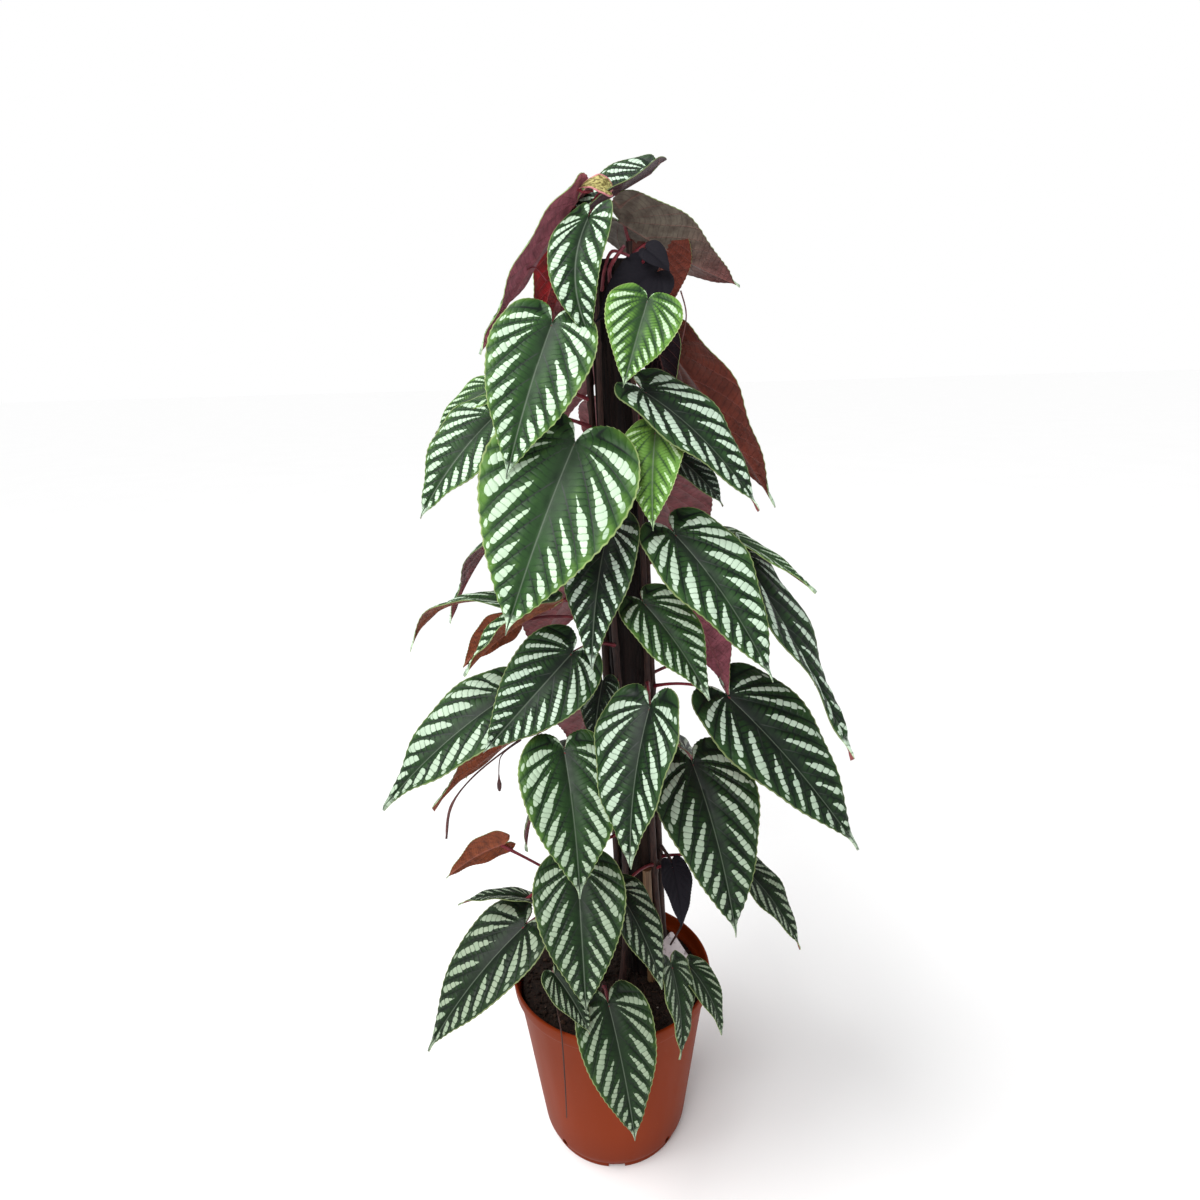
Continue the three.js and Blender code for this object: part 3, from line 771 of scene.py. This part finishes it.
def add_thread(body, number, points, thickness, kind, swelling=1):
    route = spline(points, steps=6)
    whole = np.sum(spans(route))

    def radius(far, turns):
        share = far / whole
        bulb = (swelling - 1) * smooth(share, 0.76, 0.86) * (1 - 0.6 * smooth(share, 0.93, 1))
        return thickness / 2 * (1 - 0.25 * share + bulb) * (1 + 0.06 * np.sin(2 * turns + far))

    add_rod(body, route, radius, sides=7, kind=kind, number=number)


# The climbing stems: where each stands round the pole, how far it sways and its foot spreads, and its top
STEMS = {
    "front_left_shoot": (-122, 5, 16, 752),
    "front_right_shoot": (-42, 5, 8, 700),
    "left_shoot": (-162, 5, 22, 752),
    "right_shoot": (-2, 5, 2, 640),
    "right_back_shoot": (38, 4, 4, 742),
    "back_shoot": (82, 5, 12, 715),
    "left_back_shoot": (150, 5, 20, 738),
}

# The leaves that face the front and the sides, shoot by shoot, from the top down
LEAVES = {
    "front_left_shoot": [
        blade([-2, -38, 746], [-80, 76, 20], [80, 36], 0.25, 0.95, 0.3, twist=-25, swing=-0.12),
        blade([-26, -50, 685], [-133, 64, -36], [103, 67], 0.35, 0.9),
        blade([-14, -62, 612], [-140, 62, -42], [131, 98], 0.38, 1),
        blade([6, -48, 553], [-110, 66, 6], [96, 53], 0.05, 0.75),
        blade([-21, -52, 466], [-157, 42, -60], [93, 60], 0.15, 0.8),
        blade([-1, -36, 437], [-118, 72, -8], [48, 30], 0, 0.3),
        blade([-29, -70, 400], [-79, 62, -7], [100, 71], 0.35, 0.95),
        blade([-23, -70, 304], [-85, 58, 1], [97, 67], 0.25, 0.95),
    ],
    "front_right_shoot": [
        blade([35, -28, 729], [-10, 44, 60], [21, 17], 0, 0, 0.3),
        blade([42, -20, 716], [-168, 36, -70], [52, 36], 0, 0, 0),
        blade([34, -50, 697], [-125, 60, -35], [60, 48], 0.66, 0.85),
        blade([31, -45, 642], [-19, 45, 25], [108, 60], 0.12, 0.95),
        blade([38, -52, 617], [-98, 64, 10], [67, 42], 0.95, 0.75),
        blade([29, -52, 501], [-35, 50, 23], [80, 51], 0.3, 0.75),
        blade([31, -74, 433], [-113, 68, 16], [110, 66], 0.15, 0.95, fold=0.3),
        blade([7, -52, 271], [-50, 52, -8], [77, 44], 0.12, 0.8),
        blade([52, -14, 266], [-78, 62, -20], [50, 28], 0, 0, 0),
    ],
    "left_shoot": [
        blade([39, -4, 778], [-166, 29, -17], [74, 42], 0.1, 0.9, 0.05, fold=0.5, arch=0),
        blade([12, -27, 764], [178, -4, -50], [19, 16], arch=0.2, skins=(BUD, BUD)),
        blade([-10, -20, 759], [-174, 54, 13], [113, 48], arch=0.02, brown=0.25),
        blade([-68, -10, 647], [-173, 35, -33], [54, 32], 0.5, 0.9),
        blade([-68, -31, 628], [-151, 48, -34], [85, 52], 0.3, 1, 0.8),
        blade([-34, -55, 501], [-172, 36, 2], [78, 44], 0.3, 1, 0.85, fold=0.5),
        blade([-67, -30, 481], [-169, 40, 71], [46, 30], brown=0.9),
        blade([-59, -20, 493], [-179, 22, -2], [90, 52], 0.3, 0.9, 0.85, hook=0.16, twist=28),
        blade([-71, -30, 426], [-163, 38, -27], [124, 64], 0.25, 1),
        blade([-25, -15, 407], [-167, 32, 41], [130, 72], brown=0.9),
        blade([-38, 10, 352], [178, 70, 0], [92, 56], 0.2, 0.8),
        blade([-79, -45, 311], [-163, 24, 74], [50, 30], rise=100, lift=0, brown=0.95),
        blade([-62, -50, 264], [-178, 2, 18], [55, 30], 0.15, 0.8, arch=0.08),
        blade([-66, -58, 246], [-153, 44, -13], [115, 66], 0.15, 0.95),
    ],
    "right_shoot": [
        blade([49, -20, 601], [-29, 42, 23], [55, 34], 0, 0.3, 0),
        blade([50, -52, 549], [-38, 50, 23], [118, 66], 0.22, 0.9),
        blade([61, -10, 490], [-46, 56, -89], [77, 46], brown=0.25),
        blade([90, -40, 425], [-34, 43, 21], [138, 80], 0.08, 0.7, arch=0.05),
        blade([64, -46, 375], [-70, 56, -1], [123, 79], 0.14, 0.75),
        blade([66, 18, 352], [8, 68, 0], [92, 56], 0.2, 0.8),
        blade([108, -25, 270], [-39, 46, -5], [74, 40], 0.2, 0.8),
    ],
    "right_back_shoot": [
        blade([20, 8, 751], [18, 24, -21], [99, 66], arch=-0.02, brown=0.62),
        blade([42, 14, 741], [58, 62, -3], [52, 48], brown=0.5),
        blade([38, 14, 687], [-61, 66, -105], [63, 38], brown=0),
        blade([55, 32, 670], [-10, 56, -34], [142, 70], 0.3, 1, 0.5, arch=0.02),
        blade([92, 10, 535], [-31, 27, -8], [82, 44], 0.45, 0.9, arch=0.03),
        blade([105, -4, 521], [-49, 52, -20], [164, 72], 0.08, 0.7, arch=0.02),
    ],
    "left_back_shoot": [blade([-14, 24, 746], [-177, 71, 34], [74, 44], brown=1.2)],
    "back_shoot": [],
}

# The far side's leaves follow one rule: down each shoot they swing left and right and grow longer.
FAR_SIDE = {
    "right_back_shoot": (40, -26, [575, 430, 330]),
    "back_shoot": (96, -14, [700, 625, 540, 462, 382, 300]),
    "left_back_shoot": (146, 20, [664, 574, 490, 404, 310]),
}
FAR_REACH = 46
FAR_REACH_GAIN = 26
FAR_LENGTH = 88
FAR_LENGTH_GAIN = 46
FAR_DROP = 56
LEAF_SHAPE = 0.62

for name, (middle, swing, tops) in FAR_SIDE.items():
    for i, z in enumerate(tops):
        heading = middle + (swing if i % 2 else -swing) + 8 * (draw() - 0.5)
        low = (POLE_HEAD[2] - z) / (POLE_HEAD[2] - SOIL_TOP)
        length = FAR_LENGTH + FAR_LENGTH_GAIN * math.sin(math.pi * min(1, 0.15 + low)) + 10 * draw()
        at = beside(heading, FAR_REACH + FAR_REACH_GAIN * low + 8 * draw(), z)
        turned = [heading + 10 * (draw() - 0.5), FAR_DROP - 12 * draw(), 16 * (draw() - 0.5)]
        tones = [chance.uniform(0.1, 0.5), chance.uniform(0.75, 1)]
        LEAVES[name].append(blade(at, turned, [length, LEAF_SHAPE * length], *tones))

# Tendrils hang free at the left, from the stem out between the leaves: their points, thickness and skin,
# and how far the end swells.
TENDRILS = {
    "left_shoot": [
        ([[2, 4, 408], [-43, -20, 399], [-77, -25, 378], [-104, -30, 357], [-120, -34, 336],
          [-125, -36, 310]], 1.6, TENDRIL, 1.7),
        ([[-64, -24, 386], [-78, -25, 376], [-82, -25, 366], [-83, -25, 344]], 1, TENDRIL, 4),
    ],
}

# Loose stalks, threads and root strands, given in the same way
WISPS = {
    "front_right_shoot": [
        ([[6, -14, 706], [8, -24, 718], [13, -27, 728], [24, -27, 725]], 2.6, PETIOLE),
        ([[12, -14, 708], [11, -25, 717], [15, -28, 724], [21, -28, 731]], 3.2, PETIOLE),
        ([[60, 4, 706], [64, 5, 690], [60, 3, 670], [56, 1, 659]], 1.1, TENDRIL),
        ([[44, 2, 274], [54, -4, 258], [60, -10, 238], [55, -14, 218]], 3, STEM),
        ([[40, 0, 262], [52, -8, 247], [64, -10, 229], [60, -13, 208], [50, -16, 190]], 2.4, STEM),
    ],
    "left_shoot": [
        ([[-30, -24, 712], [-37, -26, 720], [-45, -23, 718], [-51, -21, 722]], 1, PETIOLE),
        ([[2, -25, 764], [-4, -26, 763], [-9, -25, 765], [-11, -22, 762]], 2, PETIOLE),
    ],
}

# Short shoots at the plant's foot: each stands in the soil and carries its own few leaves.
FOOT_SHOOTS = {
    "foot_shoot_front": {
        "route": [[-8, -44, 0], [-8, -48, 24], [-6, -62, 46]],
        "leaves": [blade([-3, -86, 197], [-68, 62, 3], [96, 60], 0.3, 0.95)],
    },
    "foot_shoot_left": {
        "route": [[-44, -34, 0], [-46, -38, 22], [-48, -48, 44]],
        "leaves": [blade([-42, -87, 226], [-41, 46, 3], [48, 31], 0.2, 0.85)],
        "roots": [
            ([[-46, -38, 168], [-44, -64, 176], [-40, -79, 162], [-39, -81, 120], [-39, -81, 82]],
             1.2, STEM),
        ],
    },
    "foot_shoot_right": {
        "route": [[50, -36, 0], [50, -38, 22], [50, -42, 44]],
        "leaves": [
            blade([47, -60, 208], [-84, 62, -45], [68, 38], 0.35, 0.7),
            blade([63, -45, 193], [-51, 50, -10], [55, 30], 0.3, 0.6, arch=0.12),
        ],
    },
}
FOOT_STEM_RADIUS = 2.2
FOOT_STEM_TIP_RADIUS = 1.5
FOOT_STEM_TAPER = 60

vine_materials = [
    leaf_top(),
    leaf_underside(),
    stalk("stem_bark", (30, 18, 18), (70, 46, 38), 0.7),
    stalk("leaf_stalk", (86, 22, 36), (140, 46, 56), 0.42),
    stalk("tendril_skin", (52, 30, 34), (110, 66, 62), 0.5),
    bud_skin(),
]
leaf_count = 0


def add_leaf(body, start, leaf):
    global leaf_count
    leaf_count += 1
    add_petiole(body, start, leaf, leaf_count)
    add_blade(body, leaf, leaf_count)


def finish_shoot(name, body, threads):
    for group in (threads, WISPS.get(name, [])):
        for i, thread in enumerate(group):
            add_thread(body, i, *thread)
    piece(name.replace("shoot", "vine"), body.mesh(name, vine_materials), "vine", name)


def add_shoot(name, stem, leaves, tendrils):
    body = Body()
    top = stem[3]
    route = np.array([stem_spot(stem, z) for z in np.arange(SOIL_TOP, top + 1, STEM_STEP)])
    foot = route[0] - [0, 0, BURIED]
    heights = [min(leaf["at"][2] - leaf["rise"], top - 3) for leaf in leaves]

    def radius(far, turns):
        z = SOIL_TOP - BURIED + far
        share = max(0, (z - SOIL_TOP) / (top - SOIL_TOP))
        nodes = sum(math.exp(-(((z - height) / 3.5) ** 2)) for height in heights)
        ridges = 1 + 0.06 * np.cos(5 * turns + 0.02 * z) + 0.03 * np.sin(9 * turns)
        return (mix(STEM_RADIUS, STEM_TIP_RADIUS, share) + 0.7 * min(nodes, 1)) * ridges

    add_rod(body, np.vstack([foot, route]), radius, sides=14, kind=STEM)
    for leaf, height in zip(leaves, heights):
        add_leaf(body, stem_spot(stem, height), leaf)
    finish_shoot(name, body, tendrils)


def add_foot_shoot(name, shoot):
    body = Body()
    way = np.array([[x, y, SOIL_TOP + rise] for x, y, rise in shoot["route"]])
    route = np.vstack([[way[0] - [0, 0, BURIED]], spline(way, steps=6)])

    def radius(far, turns):
        share = min(max(0, (far - BURIED) / FOOT_STEM_TAPER), 1)
        return mix(FOOT_STEM_RADIUS, FOOT_STEM_TIP_RADIUS, share) * (1 + 0.06 * np.cos(4 * turns))

    add_rod(body, route, radius, sides=12, kind=STEM)
    for leaf in shoot["leaves"]:
        add_leaf(body, way[-1] - [0, 0, 3], leaf)
    finish_shoot(name, body, shoot.get("roots", []))


for name, stem in STEMS.items():
    add_shoot(name, stem, LEAVES[name], TENDRILS.get(name, []))
for name, shoot in FOOT_SHOOTS.items():
    add_foot_shoot(name, shoot)


# Pot: one moulded shell with a rolled rim, a foot ring with notches, and drain holes
def rounded(profile, rounds):
    """Cuts the profile's corners, apart from its two ends."""
    for _ in range(rounds):
        cut = [profile[0]]
        for a, b in zip(profile, profile[1:]):
            cut += [mix(a, b, 0.25), mix(a, b, 0.75)]
        profile = [*cut, profile[-1]]
    return profile


def add_pot():
    sides = 160
    crease = 35
    shoulder = RIM_RADIUS - SHOULDER_INSET
    below = POT_HEIGHT - RIM_BAND
    inner = [
        (0, FLOOR), (FOOT_RADIUS - 5, FLOOR + 0.4), (FOOT_RADIUS - 0.6, FLOOR + 3),
        (FOOT_RADIUS + 1.7, FLOOR + 11), (shoulder - WALL, below - 2), (RIM_RADIUS - 3.2, below + 1.6),
        (RIM_RADIUS - 2.6, POT_HEIGHT - 1),
    ]
    outer = [
        (RIM_RADIUS - 1.6, POT_HEIGHT), (RIM_RADIUS - 0.4, POT_HEIGHT - 0.5), (RIM_RADIUS, POT_HEIGHT - 2),
        (RIM_RADIUS - 0.9, below + 2), (RIM_RADIUS - 1.8, below), (shoulder, below - 0.8),
        (FOOT_RADIUS + 3.6, 17), (FOOT_RADIUS + 2.4, 10.5), (FOOT_RADIUS, 6.4),
        (FOOT_RADIUS - 1.6, 5), (FOOT_RADIUS - 1.6, 0), (FOOT_RADIUS - 4.2, 0),
        (FOOT_RADIUS - 5, 3), (24, 3), (22, 0),
        (0, 0),
    ]
    profile = rounded([np.array(p, float) for p in [*inner, *outer]], rounds=2)
    points = turned_points(profile[0][1], profile[-1][1], circle(sides), profile[1:-1])
    body = Body()
    body.add(np.concatenate(points), [face[::-1] for face in turned_faces(sides, len(profile) - 2)], 0)
    pot = show("pot_moulding", body.mesh("pot_moulding", [pot_plastic()], crease))

    cutters = bmesh.new()
    scale = Matrix.Scale(MM, 4)
    drain = {"radius1": DRAIN_RADIUS, "radius2": DRAIN_RADIUS, "depth": 16}
    for i in range(NOTCHES):
        turn = FULL * i / NOTCHES - math.pi / 2
        notch = Matrix.Translation((FOOT_RADIUS - 2, 0, 0)) @ Matrix.Diagonal((16, 14, 7.4, 1))
        bmesh.ops.create_cube(cutters, size=1, matrix=scale @ Matrix.Rotation(turn, 4, "Z") @ notch)
        hole = Matrix.Rotation(turn + math.pi / NOTCHES, 4, "Z")
        hole = hole @ Matrix.Translation((FOOT_RADIUS, 0, DRAIN_HEIGHT))
        hole = scale @ hole @ Matrix.Rotation(math.radians(90 - DRAIN_TILT), 4, "Y")
        bmesh.ops.create_cone(cutters, cap_ends=True, segments=20, matrix=hole, **drain)
    cutting = bpy.data.meshes.new("pot_cuts")
    cutters.to_mesh(cutting)
    cutters.free()
    cutter = show("pot_cuts", cutting)
    cut = pot.modifiers.new("cuts", "BOOLEAN")
    cut.operation = "DIFFERENCE"
    cut.solver = "EXACT"
    cut.object = cutter
    view = bpy.context.evaluated_depsgraph_get()
    finished = bpy.data.meshes.new_from_object(pot.evaluated_get(view))
    pot.modifiers.clear()
    pot.data = finished
    finished.set_sharp_from_angle(angle=math.radians(crease))
    bpy.data.objects.remove(cutter)
    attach(pot, "root")
    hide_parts("nursery_pot")


# Soil: a crumbly filling with bark, fibres and a few pale grains on it
PEAT, BARK, PALE = range(3)
SOIL_GRAINS = 620
BARK_EVERY = 5
PALE_EVERY = 22
SOIL_FIBRES = 90
SOIL_FIBRE_RADIUS = 0.28


def grain_of(base, place, size, rng):
    angle = rng.uniform(0, FULL)
    axis = Vector([rng.uniform(-1, 1) for _ in range(3)]).normalized()
    turn = np.array(Matrix.Rotation(angle, 3, axis))
    stretch = np.array([rng.uniform(0.6, 1.3), rng.uniform(0.5, 1), rng.uniform(0.45, 0.9)])
    lumps = np.array([1 + 0.5 * noise.noise(Vector(p * 1.4) + Vector(place)) for p in base])
    return (base * lumps[:, None] * stretch * size) @ turn.T + place


def add_soil():
    rng = random.Random(5)
    sides, rings = 180, 64
    edge = mix(FOOT_RADIUS + 1.4, RIM_RADIUS - SHOULDER_INSET - WALL, 0.98) - 1.0
    foot = FOOT_RADIUS - 1.6
    ring = circle(sides)

    def level(x, y):
        broad = noise.noise(Vector((x, y, 0)) * 0.045) * 2.2
        fine = noise.fractal(Vector((x, y, 3)) * 0.3, 0.9, 2.2, 3) * 1.3
        return SOIL_TOP - 0.5 + broad + fine

    wall = [(foot - 3, FLOOR + 1), (foot + 1, FLOOR + 10), (edge, SOIL_TOP - 5)]
    points = turned_points(FLOOR + 1, level(0, 0), ring, wall)
    for i in range(rings, 0, -1):
        spots = ring * (edge - 0.4) * i / rings
        points.append(np.column_stack([spots, [level(x, y) for x, y in spots]]))
    body = Body()
    body.add(np.concatenate(points), turned_faces(sides, rings + len(wall)), 0)

    ball = bmesh.new()
    bmesh.ops.create_icosphere(ball, subdivisions=2, radius=1)
    base = np.array([v.co for v in ball.verts])
    triangles = [[v.index for v in f.verts] for f in ball.faces]
    ball.free()
    for i in range(SOIL_GRAINS):
        far, turn = (edge - 2.5) * math.sqrt(rng.random()), rng.uniform(0, FULL)
        x, y = far * math.cos(turn), far * math.sin(turn)
        kind = PALE if i % PALE_EVERY == 0 else BARK if i % BARK_EVERY == 0 else PEAT
        size = rng.uniform(0.8, 1.5 if kind == PALE else 2.4)
        place = np.array([x, y, level(x, y) + 0.2 * size])
        body.add(grain_of(base, place, size, rng), triangles, 0, grain=(kind, rng.random(), 0))
    for _ in range(SOIL_FIBRES):
        far, turn, bend = (edge - 12) * math.sqrt(rng.random()), rng.uniform(0, FULL), rng.uniform(-1, 1)
        x, y = far * math.cos(turn), far * math.sin(turn)
        length, heading = rng.uniform(6, 18), rng.uniform(0, FULL)
        route = []
        for t in np.linspace(-0.5, 0.5, 6):
            fx = x + t * length * math.cos(heading + bend * t)
            fy = y + t * length * math.sin(heading + bend * t)
            route.append([fx, fy, level(fx, fy) + 0.7 + 1.2 * (0.25 - t * t) * rng.uniform(0, 2)])
        strand = Body()
        add_rod(strand, route, lambda far, turns: SOIL_FIBRE_RADIUS, sides=5)
        body.add(np.concatenate(strand.points), strand.faces, 0, grain=(BARK, rng.random(), 0))
    piece("soil_filling", body.mesh("soil_filling", [soil_crumbs()], crease=70), "soil", "potting_soil")


# Pole: a fibre-wrapped stake with vertical furrows and loose strands, leaning as one straight piece
POLE_STRANDS = 170


def add_pole():
    lean = unit(POLE_HEAD - POLE_FOOT)
    whole = np.linalg.norm(POLE_HEAD - POLE_FOOT)
    route = np.array([POLE_FOOT + lean * far for far in np.arange(-POLE_DEPTH, whole + 0.1, 3.5)])

    def radius(far, turns):
        furrow = 0.45 * np.cos(9 * turns + 0.01 * far)
        fibre = [0.8 * noise.noise(Vector((far * 0.02, 5 * math.cos(t), 5 * math.sin(t)))) for t in turns]
        return POLE_RADIUS - 0.3 + furrow + np.array(fibre)

    body = Body()
    add_rod(body, route, radius, sides=84)
    rng = random.Random(8)
    for i in range(POLE_STRANDS):
        start, span, turn = rng.uniform(0, whole - 60), rng.uniform(30, 110), rng.uniform(0, FULL)
        drift, bulge = rng.uniform(-0.5, 0.5), rng.uniform(0.1, 1.6)
        strand = []
        for t in np.linspace(0, 1, 9):
            around = turn + drift * t + 0.06 * math.sin(9 * t + i)
            orbit = POLE_RADIUS - 0.2 + bulge * math.sin(math.pi * t) ** 2 * 0.5
            place = POLE_FOOT + lean * min(start + span * t, whole - 1)
            strand.append(place + [orbit * math.cos(around), orbit * math.sin(around), 0])
        thick = rng.uniform(0.22, 0.45)
        add_rod(body, strand, lambda far, turns: thick, sides=5, number=i)
    piece("fibre_pole", body.mesh("fibre_pole", [pole_fibre()], crease=70), "pole_fibre", "climbing_pole")


def add_cane():
    foot = SOIL_TOP - CANE_DEPTH
    heights = np.arange(foot, CANE_TOP + 0.1, 4)
    heights = heights[heights <= foot + CANE_STEP * ((CANE_TOP - foot) // CANE_STEP)]
    route = [beside(CANE_AZIMUTH, CANE_ORBIT, z) for z in heights]

    def radius(far, turns):
        joint = min(abs(far - node) for node in CANE_JOINTS)
        ring = 0.35 * math.exp(-((joint / 2.2) ** 2)) - 0.2 * math.exp(-(((joint - 3) / 1.2) ** 2))
        return CANE_RADIUS - 0.4 + ring + 0.05 * np.cos(7 * turns)

    body = Body()
    add_rod(body, route, radius, sides=24)
    piece("cane_rod", body.mesh("cane_rod", [cane_wood()], crease=40), "bamboo", "bamboo_cane")


# Label: a plain bare tag with rounded upper corners and a pointed foot, leaning in the soil
def add_label():
    width, height, point, corner, thickness = LABEL.values()
    outline = [(-width / 2, 0), (0, -point), (width / 2, 0)]
    for centre, start in ((width / 2 - corner, 0), (corner - width / 2, 90)):
        for turn in np.radians(start + np.arange(7) * 15):
            outline.append((centre + corner * math.cos(turn), height - corner + corner * math.sin(turn)))
    shape = bmesh.new()
    face = shape.faces.new([shape.verts.new((x, -thickness / 2, z)) for x, z in outline])
    made = bmesh.ops.extrude_face_region(shape, geom=[face])
    far_side = [part for part in made["geom"] if isinstance(part, bmesh.types.BMVert)]
    bmesh.ops.translate(shape, vec=(0, thickness, 0), verts=far_side)
    bmesh.ops.recalc_face_normals(shape, faces=shape.faces)
    rim = [e for e in shape.edges if e.calc_face_angle(0) > math.radians(60)]
    bmesh.ops.bevel(shape, geom=rim, offset=0.25, segments=2, affect="EDGES")
    lean = Matrix.Rotation(math.radians(-LABEL_LEAN), 4, "Y")
    turn = Matrix.Rotation(math.radians(LABEL_TURN), 4, "Z")
    place = Matrix.Translation(LABEL_FOOT) @ lean @ turn
    shape.transform(Matrix.Scale(MM, 4) @ place)
    mesh = bpy.data.meshes.new("label_tag")
    shape.to_mesh(mesh)
    shape.free()
    mesh.materials.append(label_plastic())
    mesh.shade_smooth()
    mesh.set_sharp_from_angle(angle=math.radians(40))
    piece("label_tag", mesh, "label_plastic", "plant_label")


add_pot()
add_soil()
add_pole()
add_cane()
add_label()


# The floor, the light and the camera: a white backdrop, a dimmer even fill, a wide, soft key from the upper
# left in front, which together make the floor as white as the backdrop, and a round lamp in front
FLOOR_REACH = 30
BACKDROP = 1.0
FILL = 0.5
KEY = 1.95
KEY_SPREAD = 40
KEY_HEADING = (0.62, 0.12, -1)
FRONT = 18
FRONT_SIZE = 0.9
FRONT_PLACE = (-0.5, -1.2, 1.5)
FRONT_AIM = (0, 0, 0.55)


def add_stage():
    floor = bpy.data.meshes.new("floor")
    corners = [(-1, -1), (1, -1), (1, 1), (-1, 1)]
    floor.from_pydata([(x * FLOOR_REACH, y * FLOOR_REACH, 0) for x, y in corners], [], [(0, 1, 2, 3)])
    floor.materials.append(floor_paint())
    made = show("floor", floor)
    world = bpy.data.worlds.new("studio")
    world.use_nodes = True
    nodes, links = world.node_tree.nodes, world.node_tree.links
    seen = nodes.new("ShaderNodeLightPath")
    both = nodes.new("ShaderNodeMixShader")
    links.new(seen.outputs["Is Camera Ray"], both.inputs[0])
    shades = ((nodes.new("ShaderNodeBackground"), FILL), (nodes["Background"], BACKDROP))
    for i, (shade, strength) in enumerate(shades, 1):
        shade.inputs["Color"].default_value = (1, 1, 1, 1)
        shade.inputs["Strength"].default_value = strength
        links.new(shade.outputs[0], both.inputs[i])
    links.new(both.outputs[0], nodes["World Output"].inputs["Surface"])
    bpy.context.scene.world = world
    bpy.context.scene.view_settings.view_transform = "Standard"


def add_lamp(name, kind, heading, place=(0, 0, 0), **settings):
    lamp = bpy.data.lights.new(name, kind)
    for setting, value in settings.items():
        setattr(lamp, setting, value)
    made = show(name, lamp)
    made.location = place
    made.rotation_euler = Vector(heading).to_track_quat("-Z", "Y").to_euler()


def add_camera():
    yaw, pitch, roll = (math.radians(a) for a in (CAMERA_YAW, CAMERA_PITCH, CAMERA_ROLL))
    right = np.array([math.cos(yaw), math.sin(yaw), 0])
    level = math.cos(pitch)
    forward = np.array([-math.sin(yaw) * level, math.cos(yaw) * level, -math.sin(pitch)])
    up = np.cross(right, forward)
    x = math.cos(roll) * right + math.sin(roll) * up
    y = -math.sin(roll) * right + math.cos(roll) * up
    lens = bpy.data.cameras.new("camera")
    lens.lens = CAMERA_LENS
    lens.sensor_width = CAMERA_SENSOR
    lens.clip_start = 0.01
    made = show("camera", lens)
    turned = Matrix([x, y, -forward]).transposed().to_4x4()
    made.matrix_world = Matrix.Translation(Vector(CAMERA_PLACE * MM)) @ turned
    bpy.context.scene.camera = made


add_stage()
add_lamp("key", "SUN", KEY_HEADING, energy=KEY, angle=math.radians(KEY_SPREAD))
heading = Vector(FRONT_AIM) - Vector(FRONT_PLACE)
add_lamp("front", "AREA", heading, FRONT_PLACE, shape="DISK", size=FRONT_SIZE, energy=FRONT)
add_camera()
